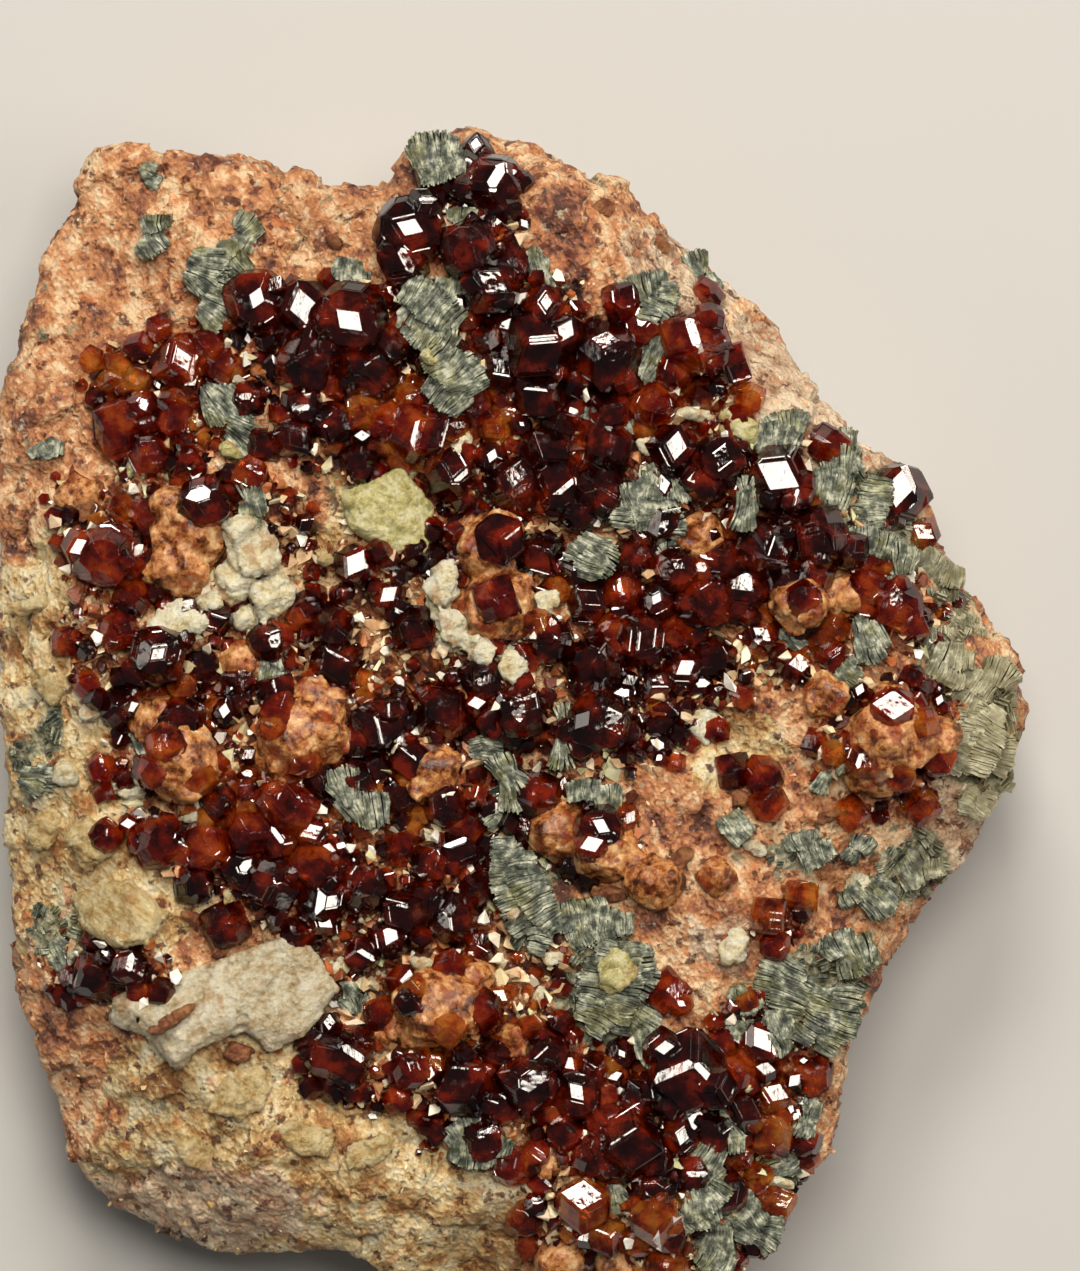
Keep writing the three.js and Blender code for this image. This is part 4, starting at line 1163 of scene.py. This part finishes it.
def chipMaterial(name, stops):
    material, tree, shader = newMaterial(name)
    place = placeSocket(tree)
    mottle = noiseSocket(tree, place, 0.7 * mm, detail=5.0, roughness=0.65)
    mixed = compute(tree, "MULTIPLY", mottle, 0.3)
    shade = compute(tree, "MULTIPLY_ADD", attributeSocket(tree, "shade"), 0.7, mixed)
    rough = spreadSocket(tree, mottle, 0.4, 0.6, 0.25, 0.6)
    pits = bumpSocket(tree, noiseSocket(tree, place, 0.25 * mm), 0.1 * mm, 0.7)
    wireShader(tree, shader, rampSocket(tree, shade, stops), rough, pits)
    return material


chipForms = shapeCollection("chip_form", [chipForm("chip" + str(n), n, 0.35 + 0.1 * n) for n in range(4)])
chipLooks = {
    # pale mineral flakes on the belt; their whitest tones are a painted glint standing in for tiny facet
    # reflections
    "flakes_cream": {
        "zone": "belt", "least": 0.25, "spacing": 1.7, "smallest": 0.2, "largest": 0.9, "tumble": 0.9,
        "rise": 1.4, "seed": 41,
        "stops": [(0.2, (0.5, 0.3, 0.15)), (0.42, (0.84, 0.74, 0.56)), (0.8, (0.95, 0.92, 0.86))],
    },
    "rubble_mixed": {
        "zone": "belt", "least": 0.3, "spacing": 0.95, "smallest": 0.3, "largest": 1.1, "tumble": 3.0,
        "rise": 0.5, "seed": 43,
        "stops": [
            (0.2, (0.03, 0.004, 0.002)), (0.34, (0.16, 0.03, 0.01)), (0.46, (0.44, 0.12, 0.025)),
            (0.58, (0.52, 0.24, 0.11)), (0.7, (0.8, 0.62, 0.36)), (0.82, (0.56, 0.56, 0.3)),
        ],
    },
    "rubble_pale": {
        "zone": "rubble", "least": 0.25, "spacing": 0.95, "smallest": 0.3, "largest": 1.2, "tumble": 3.0,
        "rise": 0.3, "seed": 45,
        "stops": [
            (0.15, (0.12, 0.02, 0.006)), (0.28, (0.34, 0.1, 0.03)), (0.42, (0.5, 0.22, 0.08)),
            (0.56, (0.74, 0.52, 0.29)), (0.72, (0.84, 0.74, 0.48)), (0.88, (0.62, 0.64, 0.38)),
        ],
    },
    "grains_straw": {
        "zone": "ochre", "least": 0.4, "spacing": 1.9, "smallest": 0.2, "largest": 0.6, "tumble": 3.0,
        "rise": -0.35, "seed": 47,
        "stops": [
            (0.15, (0.4, 0.16, 0.05)), (0.35, (0.55, 0.36, 0.13)), (0.6, (0.74, 0.58, 0.3)),
            (0.9, (0.84, 0.74, 0.48)),
        ],
    },
    "grains_salmon": {
        "zone": "bare", "least": 0.5, "spacing": 1.6, "smallest": 0.2, "largest": 0.65, "tumble": 3.0,
        "rise": -0.35, "seed": 53,
        "stops": [
            (0.15, (0.26, 0.08, 0.04)), (0.35, (0.5, 0.21, 0.1)), (0.6, (0.66, 0.34, 0.17)),
            (0.9, (0.78, 0.54, 0.32)),
        ],
    },
}


def makeChips():
    for name, look in chipLooks.items():
        scatter(name, chipForms, look["zone"], chipMaterial(name, look["stops"]), look)


makeChips()


chloriteColours = [
    (0.18, (0.018, 0.022, 0.015)), (0.36, (0.065, 0.076, 0.052)), (0.52, (0.18, 0.195, 0.14)),
    (0.76, (0.5, 0.51, 0.38)),
]
# plates pale between these places along x, in millimetres, and stay so to the right rim
rimPaleLook = {"from": 33.0, "to": 40.0, "share": 0.5, "colour": (0.44, 0.38, 0.21)}


def chloriteMaterial():
    material, tree, shader = newMaterial("chlorite_plates")
    place = placeSocket(tree)
    mottle = noiseSocket(tree, place, 0.9 * mm, detail=6.0, roughness=0.65)
    mixed = compute(tree, "MULTIPLY_ADD", mottle, 2.0, -0.62)
    tone = compute(tree, "MULTIPLY_ADD", attributeSocket(tree, "shade"), 0.17, mixed)
    colour = rampSocket(tree, tone, chloriteColours)
    moss = patchSocket(tree, 0.6, 3.2, 0.52, 0.62, 0.6)
    colour = blendColour(tree, moss, colour, (0.34, 0.32, 0.1), "MULTIPLY")
    colour = blendColour(tree, moss, colour, (0.09, 0.085, 0.025), "ADD")
    look = rimPaleLook
    paleTowardsRim = spreadSocket(
        tree, partOf(tree, place, "X"), look["from"] * mm, look["to"] * mm, 0.0, look["share"])
    colour = blendColour(tree, paleTowardsRim, colour, look["colour"])
    fine = noiseSocket(tree, place, 0.16 * mm, detail=3.0)
    rough = spreadSocket(tree, mottle, 0.35, 0.65, 0.6, 0.4)
    wireShader(tree, shader, colour, rough, bumpSocket(tree, fine, 0.05 * mm, 0.6))
    return material


stackLook = {
    "pitch": 0.095, "thickness": 0.15, "ruffle": 1.5, "depth": 4.2,  # in millimetres
    "middle": 0.42,  # how far a large stack's middle lies under its top, as a share of its depth
    "widths": (0.9, 1.03), "heights": (0.93, 1.02),  # shares of the stack's width and height
    "ends": -0.28,  # how much the stack narrows at its ends
    "lean": 0.04, "spin": 0.07, "slide": 0.05,  # how far single plates stray
    "ruffleScale": 420.0,
}


def stackTree(look):
    # thin plates side by side along a curve, each a little different, and all ruffled together
    tree = newTree("plate stack", {
        "Plates": "Int", "Width": "Float", "Height": "Float", "Thickness": "Float", "Ruffle": "Float",
        "Seed": "Int", "Material": "Material",
    })
    given = addNode(tree, "NodeGroupInput").outputs
    seed = given["Seed"]
    path = addNode(tree, "GeometryNodeResampleCurve", {"Curve": given["Geometry"], "Count": given["Plates"]})
    plate = addNode(tree, "GeometryNodeMeshCube", {"Vertices X": 4, "Vertices Y": 2, "Vertices Z": 2})
    tangent = addNode(tree, "GeometryNodeInputTangent").outputs[0]
    jitter = randomVector(tree, seed, 0.0, (-look["lean"],) * 3, (look["lean"],) * 3)
    facing = addNode(tree, "FunctionNodeAxesToRotation", {
        "Primary Axis": vectorMath(tree, "ADD", {0: tangent, 1: jitter}), "Secondary Axis": (0.0, 0.0, 1.0),
    }, primary_axis="Z", secondary_axis="Y")
    spin = combined(tree, Z=randomSocket(tree, seed, 9.0, -look["spin"], look["spin"]))
    turn = addNode(
        tree, "FunctionNodeRotateRotation", {0: facing.outputs[0], 1: spin}, rotation_space="LOCAL")
    along = addNode(tree, "GeometryNodeSplineParameter").outputs["Factor"]
    fromMiddle = compute(tree, "ABSOLUTE", compute(tree, "MULTIPLY_ADD", along, 2.0, -1.0))
    thinning = compute(tree, "MULTIPLY_ADD", compute(tree, "POWER", fromMiddle, 2.5), look["ends"], 1.0)
    wide, tall = [
        compute(tree, "MULTIPLY", given[label], compute(
            tree, "MULTIPLY", thinning, randomSocket(tree, seed, step, *shares)))
        for label, step, shares in (("Width", 2.0, look["widths"]), ("Height", 3.0, look["heights"]))]
    placed = addNode(tree, "GeometryNodeInstanceOnPoints", {
        "Points": path.outputs[0], "Instance": plate.outputs["Mesh"], "Rotation": turn.outputs[0],
        "Scale": combined(tree, X=wide, Y=tall, Z=given["Thickness"]),
    })
    stray = randomVector(tree, seed, 13.0, (-0.5,) * 3, (0.5,) * 3)
    reach = compute(tree, "MULTIPLY", given["Width"], look["slide"])
    slid = addNode(tree, "GeometryNodeTranslateInstances", {
        "Instances": placed.outputs[0], "Local Space": False,
        "Translation": vectorMath(tree, "SCALE", {0: stray, "Scale": reach}),
    })
    place = addNode(tree, "GeometryNodeInputPosition").outputs[0]
    wave = addNode(tree, "ShaderNodeTexNoise", {"Vector": place, "Scale": look["ruffleScale"], "Detail": 3.0})
    centred = vectorMath(tree, "SUBTRACT", {0: wave.outputs["Color"], 1: (0.5, 0.5, 0.5)})
    ruffled = addNode(tree, "GeometryNodeSetPosition", {
        "Geometry": shadedMesh(tree, slid.outputs[0], seed, 5.0),
        "Offset": vectorMath(tree, "SCALE", {0: centred, "Scale": given["Ruffle"]}),
    })
    endTree(tree, ruffled.outputs[0], given["Material"])
    return tree


chloriteGreen = chloriteMaterial()
plateStack = stackTree(stackLook)


def bentPath(name, middle, length, turn, bow):
    # a curve of nine points through the middle, bowed sideways
    data = bpy.data.curves.new(name, "CURVE")
    data.dimensions = "3D"
    spline = data.splines.new("POLY")
    spline.points.add(8)
    angle = math.radians(turn)
    forward = Vector((math.cos(angle), math.sin(angle), 0.0))
    sideways = Vector((-math.sin(angle), math.cos(angle), 0.0))
    for count, point in enumerate(spline.points):
        t = count / 4.0 - 1.0
        place = middle + forward * (t * length / 2.0) + sideways * (bow * (1.0 - t * t))
        point.co = (*place, 1.0)
    return addObject(name, data)


def makeStack(name, middle, length, width, height, turn, bow, seed):
    path = bentPath(name + "_path", middle, length, turn, bow)
    values = {
        "Plates": max(5, round(length / (stackLook["pitch"] * mm))), "Width": width, "Height": height,
        "Thickness": stackLook["thickness"] * mm, "Ruffle": stackLook["ruffle"] * mm, "Seed": seed,
        "Material": chloriteGreen,
    }
    return applyTree(path, plateStack, values, name)


# how the books of one bundle stray, as shares of its length, width and height, and in degrees
bundleLook = {
    "along": 0.24, "spread": 0.5, "across": 0.1, "drop": (-0.12, 0.06), "lengths": (0.62, 0.9),
    "widths": (0.55, 0.8), "turn": 13, "bow": 0.09,
}


def makeBundle(name, middle, length, width, height, turn, count):
    # a few books of plates grown through one another
    look = bundleLook
    rng = random.Random(name)
    angle = math.radians(turn)
    books = []
    for number in range(count):
        along = rng.uniform(-look["along"], look["along"]) * length
        across = (number / max(1, count - 1) - 0.5) * look["spread"] * width
        across += rng.uniform(-look["across"], look["across"]) * width
        shift = Vector((
            along * math.cos(angle) - across * math.sin(angle),
            along * math.sin(angle) + across * math.cos(angle),
            rng.uniform(*look["drop"]) * height,
        ))
        bookLength = length * rng.uniform(*look["lengths"])
        bookWidth = width * rng.uniform(*look["widths"])
        bookTurn = turn + rng.uniform(-look["turn"], look["turn"])
        bow = rng.uniform(-look["bow"], look["bow"]) * length
        books.append(makeStack(
            name + "_" + str(number), middle + shift, bookLength, bookWidth, height, bookTurn, bow,
            rng.randrange(900)))
    return books


# the way each large stack runs, in degrees
largeStacks = {
    "chlorite_crest": 10, "chlorite_fan_upper": -28, "chlorite_fan_lower": -48,
    "chlorite_column_north": 78, "chlorite_ribbon_west": 48, "chlorite_block_centre": 12,
    "chlorite_bun_centre": 58, "chlorite_wave_south": -68, "chlorite_mass_south": 75, "chlorite_rim_east": 60,
}


def extentAlong(node, turn):
    # a node's length along a direction of the plan
    angle = math.radians(turn)
    marks = [v.co.x * math.cos(angle) + v.co.y * math.sin(angle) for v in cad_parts[node].data.vertices]
    return max(marks) - min(marks)


# a small stack's depth, and how far its top stands over the rock: a share of its width and millimetres more
smallStack = {"depth": (0.55, 1.8), "top": (0.34, 0.7)}


def makeChlorite():
    large = []
    depth = stackLook["depth"] * mm
    for node, turn in largeStacks.items():
        low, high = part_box(node)
        middle = (low + high) / 2
        middle.z = high.z - depth * stackLook["middle"]
        length, width = extentAlong(node, turn), extentAlong(node, turn + 90)
        large += makeBundle(node + "_plates", middle, length, width, depth, turn, 4)
    plates = joined(large, "chlorite_large")
    ledges.append(surfaceOf(plates.data))
    finishPiece(plates, chloriteGreen, largeStacks)
    small = []
    for number, (x, y, length, width, turn) in enumerate(plateStacks):
        (deep, deeper), (tall, taller) = smallStack["depth"], smallStack["top"]
        height = (deep * width + deeper) * mm
        top = heightOn(rockSurface, x, y) + (tall * width + taller) * mm
        middle = Vector((x * mm, y * mm, top - height / 2))
        books = 3 if width > 3 else 2
        small += makeBundle("book" + str(number), middle, length * mm, width * mm, height, turn, books)
    finishPiece(joined(small, "chlorite_small"), chloriteGreen)


tuftPlates = {"count": 6, "side": 1.6, "thin": 0.11, "apart": 0.2, "fan": 0.16, "lean": 0.3, "slide": 0.15}


def tuftForm(name, seed):
    # a ragged tuft of a few thin plates
    look = tuftPlates
    rng = random.Random(seed)
    shape = bmesh.new()
    for number in range(look["count"]):
        fromMiddle = number - (look["count"] - 1) / 2
        nod = rng.uniform(-look["lean"], look["lean"])
        roll = rng.uniform(-look["lean"], look["lean"]) + fromMiddle * look["fan"]
        lean = Euler((nod, roll, 0.0)).to_matrix().to_4x4()
        size = Matrix.Diagonal((look["thin"], rng.uniform(0.5, 1.0), rng.uniform(0.6, 1.0), 1.0))
        slide = rng.uniform(-look["slide"], look["slide"])
        place = Matrix.Translation((fromMiddle * look["apart"], slide, 0.0))
        bmesh.ops.create_cube(shape, size=look["side"], matrix=place @ lean @ size)
    return meshFrom(shape, name)


tuftLook = {
    "least": 0.5, "spacing": 1.0, "smallest": 0.4, "largest": 0.9, "tumble": 0.5, "rise": 0.25, "seed": 61,
}


def makeTufts():
    forms = shapeCollection("tuft_form", [tuftForm("tuft" + str(n), n) for n in range(4)])
    scatter("chlorite_tufts", forms, "green", chloriteGreen, tuftLook)


makeChlorite()
makeTufts()


def paleMaterial(name, look):
    material, tree, shader = newMaterial(name)
    drawn = drawnSocket(tree, look["turn"], look["stretch"])
    mottle = noiseSocket(tree, drawn, 1.1 * mm, detail=9.0, roughness=0.74)
    stain = patchSocket(tree, 0.15, 2.6, 0.56, 0.66, 0.7, detail=5.0)
    colour = blendColour(tree, stain, rampSocket(tree, mottle, look["colours"]), look["stain"])
    lines = bumpSocket(tree, noiseSocket(tree, drawn, 0.5 * mm, detail=8.0, roughness=0.75), 0.6 * mm)
    grains = cellNode(tree, placeSocket(tree), 0.45 * mm).outputs["Distance"]
    rough = spreadSocket(tree, mottle, 0.35, 0.65, 0.75, 0.35)
    wireShader(tree, shader, colour, rough, bumpSocket(tree, grains, 0.2 * mm, 0.7, lines))
    return material


creamColours = [
    (0.3, (0.27, 0.14, 0.055)), (0.4, (0.52, 0.39, 0.22)), (0.49, (0.72, 0.62, 0.41)),
    (0.6, (0.86, 0.8, 0.62)),
]
chalkColours = [
    (0.3, (0.46, 0.31, 0.13)), (0.39, (0.76, 0.62, 0.34)), (0.47, (0.94, 0.85, 0.56)),
    (0.58, (0.98, 0.95, 0.76)),
]
oliveColours = [
    (0.32, (0.26, 0.2, 0.05)), (0.42, (0.5, 0.44, 0.16)), (0.5, (0.72, 0.65, 0.28)),
    (0.6, (0.9, 0.84, 0.52)),
]
rustColours = [(0.32, (0.05, 0.012, 0.006)), (0.45, (0.22, 0.06, 0.02)), (0.6, (0.46, 0.2, 0.08))]
strawColours = [
    (0.32, (0.3, 0.12, 0.03)), (0.42, (0.54, 0.35, 0.12)), (0.5, (0.7, 0.54, 0.26)),
    (0.62, (0.86, 0.74, 0.45)),
]
# each large pale piece: the way its grain runs, how far the grain is drawn out, its colours and its stain
palePieces = {
    "diopside_blade": {
        "turn": 24, "stretch": (1.4, 1.0, 1.0), "colours": creamColours, "stain": (0.5, 0.27, 0.1),
    },
    "diopside_lump": {
        "turn": 0, "stretch": (1.0, 1.0, 1.0), "colours": oliveColours, "stain": (0.3, 0.3, 0.1),
    },
    "diopside_band": {
        "turn": -40, "stretch": (1.6, 1.0, 1.0), "colours": chalkColours, "stain": (0.5, 0.42, 0.22),
    },
    "diopside_bundle": {
        "turn": -35, "stretch": (4.0, 1.0, 1.0), "colours": strawColours, "stain": (0.42, 0.2, 0.06),
    },
}
paleLook = {
    "Voxel": 0.22, "Lift": 0.1, "Swell": 0.14, "Swell Size": 3.2, "Block": 0.3, "Block Size": 1.4,
    "Grain": 0.2, "Grain Size": 0.5, "Seed": 14.0,
}


# smaller pale lumps and blades: x, y, length, width and height in millimetres, and the way each lies
# in degrees
paleBits = {
    "cream": [
        (-21.6, 13.8, 6.2, 5.0, 4.2, 70), (-20.4, 9.8, 5.2, 5.0, 4.0, 10), (-23.4, 11.4, 4.4, 4.0, 3.8, 40),
        (-27.2, 8.3, 6.6, 3.6, 3.4, 10), (-5.6, 11.0, 5.2, 3.6, 2.4, 80), (-4.8, 8.0, 5.2, 3.4, 2.4, -60),
        (-2.2, 5.6, 5.6, 2.9, 2.4, -35), (0.6, 3.8, 3.8, 3.0, 2.4, -55), (-22.6, 15.8, 3.6, 3.4, 3.6, 20),
        (-19.6, 12.0, 3.4, 3.0, 3.8, 60), (-22.4, 8.2, 3.0, 2.6, 3.6, 0), (-25.2, 9.8, 3.0, 2.6, 3.6, 30),
        (-29.8, 7.6, 3.0, 2.0, 3.0, 0), (15.6, 25.4, 4.6, 2.0, 3.4, -14), (12.0, 22.9, 2.6, 1.8, 2.8, 0),
        (28.2, 17.0, 2.2, 1.4, 2.6, 30), (-33.6, 25.6, 2.2, 1.2, 1.6, 40), (-31.8, 26.5, 2.2, 1.1, 1.6, 0),
        (-30.2, 25.8, 1.8, 1.0, 1.4, -40), (-3.8, 22.9, 3.6, 2.6, 3.6, 55),
        (22.0, -39.6, 5.8, 1.3, 2.2, -12), (-13.9, 3.1, 2.3, 1.6, 2.0, 15), (-2.1, 2.6, 2.5, 1.1, 2.0, 80),
        (17.1, 10.7, 2.5, 1.0, 2.4, 75), (-9.7, -18.7, 3.6, 1.5, 2.2, 30), (-14.4, -21.4, 2.4, 1.3, 1.8, 70),
        (3.7, -20.5, 2.0, 1.5, 2.0, 0), (2.6, -23.4, 1.8, 1.3, 1.8, 60), (-1.4, 21.8, 1.6, 1.2, 1.8, 20),
        (-5.1, -15.7, 2.2, 1.1, 2.2, 70), (-6.4, -10.2, 2.2, 1.0, 2.4, -35), (3.1, 9.4, 3.6, 2.4, 2.2, 60),
        (-26.4, -8.5, 3.8, 1.1, 1.8, 5), (-31.9, -6.5, 3.8, 1.5, 1.8, -10), (-35.0, 0.6, 3.6, 2.2, 1.8, 40),
        (-37.6, -4.8, 3.4, 2.4, 1.8, -30), (-7.4, -20.8, 2.4, 1.4, 1.8, -20),
        (0.4, -16.8, 1.8, 1.1, 1.8, 40), (16.2, -1.0, 4.6, 3.4, 2.0, 20), (26.4, 16.8, 1.8, 1.2, 1.8, 60),
        (20.6, -11.0, 2.8, 1.8, 1.6, -40), (29.6, -14.2, 3.0, 1.9, 1.6, 30),
        (19.0, -19.6, 4.4, 3.0, 1.6, 70), (-17.2, 6.4, 2.0, 1.4, 1.6, 30),
    ],
    "straw": [
        (-40.4, 9.3, 6.4, 2.0, 2.0, 8), (-35.8, -11.0, 6.0, 5.4, 2.6, 20), (-22.2, -31.8, 8.0, 4.6, 1.8, 20),
        (-17.2, -35.8, 6.4, 3.6, 1.6, -15), (-23.6, -15.5, 3.6, 1.3, 2.0, 80),
        (-39.0, 2.4, 4.4, 3.0, 1.8, -50), (-33.0, 1.2, 3.0, 2.2, 1.6, 20), (-39.4, -9.6, 4.6, 3.2, 1.8, 60),
        (-11.8, -36.8, 5.4, 3.0, 1.4, 30), (-26.4, -37.2, 5.0, 3.2, 1.4, -30),
        (-15.6, 13.4, 2.8, 1.8, 1.6, -30), (12.6, -2.8, 3.2, 2.2, 1.6, -40),
    ],
    "rust": [
        (-29.0, -25.7, 6.0, 1.7, 2.4, 27), (-22.8, -28.4, 3.4, 2.2, 2.0, 8),
        (-24.8, -20.0, 3.0, 1.4, 1.8, 20), (8.4, -15.0, 4.2, 1.6, 2.0, -8), (19.4, -7.2, 2.6, 1.6, 1.6, 30),
        (-34.6, -6.4, 2.6, 1.6, 1.4, -30), (27.0, -8.6, 2.8, 1.4, 1.4, 20),
        (-19.4, -35.4, 2.6, 1.2, 1.0, 40), (14.6, -12.0, 2.8, 2.0, 1.6, 60), (33.4, 6.0, 2.4, 1.4, 1.4, -40),
        (-35.8, 17.4, 2.8, 1.4, 1.2, 60), (-14.6, 40.2, 2.4, 1.2, 1.2, -20),
        (12.6, 40.2, 3.4, 1.6, 1.4, -30), (7.8, 43.0, 2.8, 1.8, 1.2, 20), (-27.0, -17.2, 2.4, 1.6, 1.4, 0),
    ],
    "olive": [
        (-31.6, 21.1, 3.0, 2.8, 2.4, 0), (20.1, -31.0, 2.8, 2.6, 2.2, 30), (9.1, -21.6, 4.4, 3.6, 2.6, 60),
        (-12.6, 35.6, 2.4, 1.6, 1.8, 20), (-6.6, 30.2, 2.0, 1.4, 2.0, -40),
        (-23.4, 22.4, 2.6, 1.4, 1.8, -35), (1.6, 25.2, 1.6, 1.0, 1.8, 60), (-29.8, 3.2, 2.2, 1.1, 1.8, -35),
        (22.2, 22.4, 2.6, 1.8, 2.4, 40), (19.4, 24.4, 4.8, 2.8, 3.8, -25),
    ],
}
bitLook = {
    "Voxel": 0.22, "Lift": 0.1, "Swell": 0.35, "Swell Size": 1.8, "Block": 0.4, "Block Size": 0.8,
    "Grain": 0.12, "Grain Size": 0.5, "Seed": 21.0,
}
bitGrain = {"turn": 15, "stretch": (1.3, 1.0, 1.0), "stain": (0.5, 0.24, 0.07)}


bitCorners, bitStand = 16, 0.24  # corners of its chip; how far its middle stands up, as a share of its height


def paleBit(name, x, y, length, width, height, turn):
    # one angular lump, partly sunk in the ground
    bit = addObject(name, chipForm(name, name, 1.0, bitCorners))
    along, across = chipReach
    size = Matrix.Diagonal((length * mm / (2.0 * along), width * mm / (2.0 * across), height * mm / 2.0, 1.0))
    place = Matrix.Translation((x * mm, y * mm, groundAt(x, y) + bitStand * height * mm))
    bit.data.transform(place @ Matrix.Rotation(math.radians(turn), 4, "Z") @ size)
    return bit


def makePaleBits():
    tones = {"cream": chalkColours, "straw": strawColours, "olive": oliveColours, "rust": rustColours}
    for tone, bits in paleBits.items():
        lumps = [paleBit(tone + str(count), *bit) for count, bit in enumerate(bits)]
        piece = breakSurface(joined(lumps, tone + "_lumps"), bitLook, "pale_" + tone)
        piece.data.shade_smooth()
        material = paleMaterial("pale_" + tone + "_stone", bitGrain | {"colours": tones[tone]})
        finishPiece(piece, material)


def makePalePieces():
    for node, look in palePieces.items():
        piece = breakSurface(mergedCopy(node, node + "_solid"), paleLook, node + "_surface")
        piece.data.shade_smooth()
        finishPiece(piece, paleMaterial(node + "_stone", look), [node])
        ledges.append(surfaceOf(piece.data))


makePalePieces()
makePaleBits()
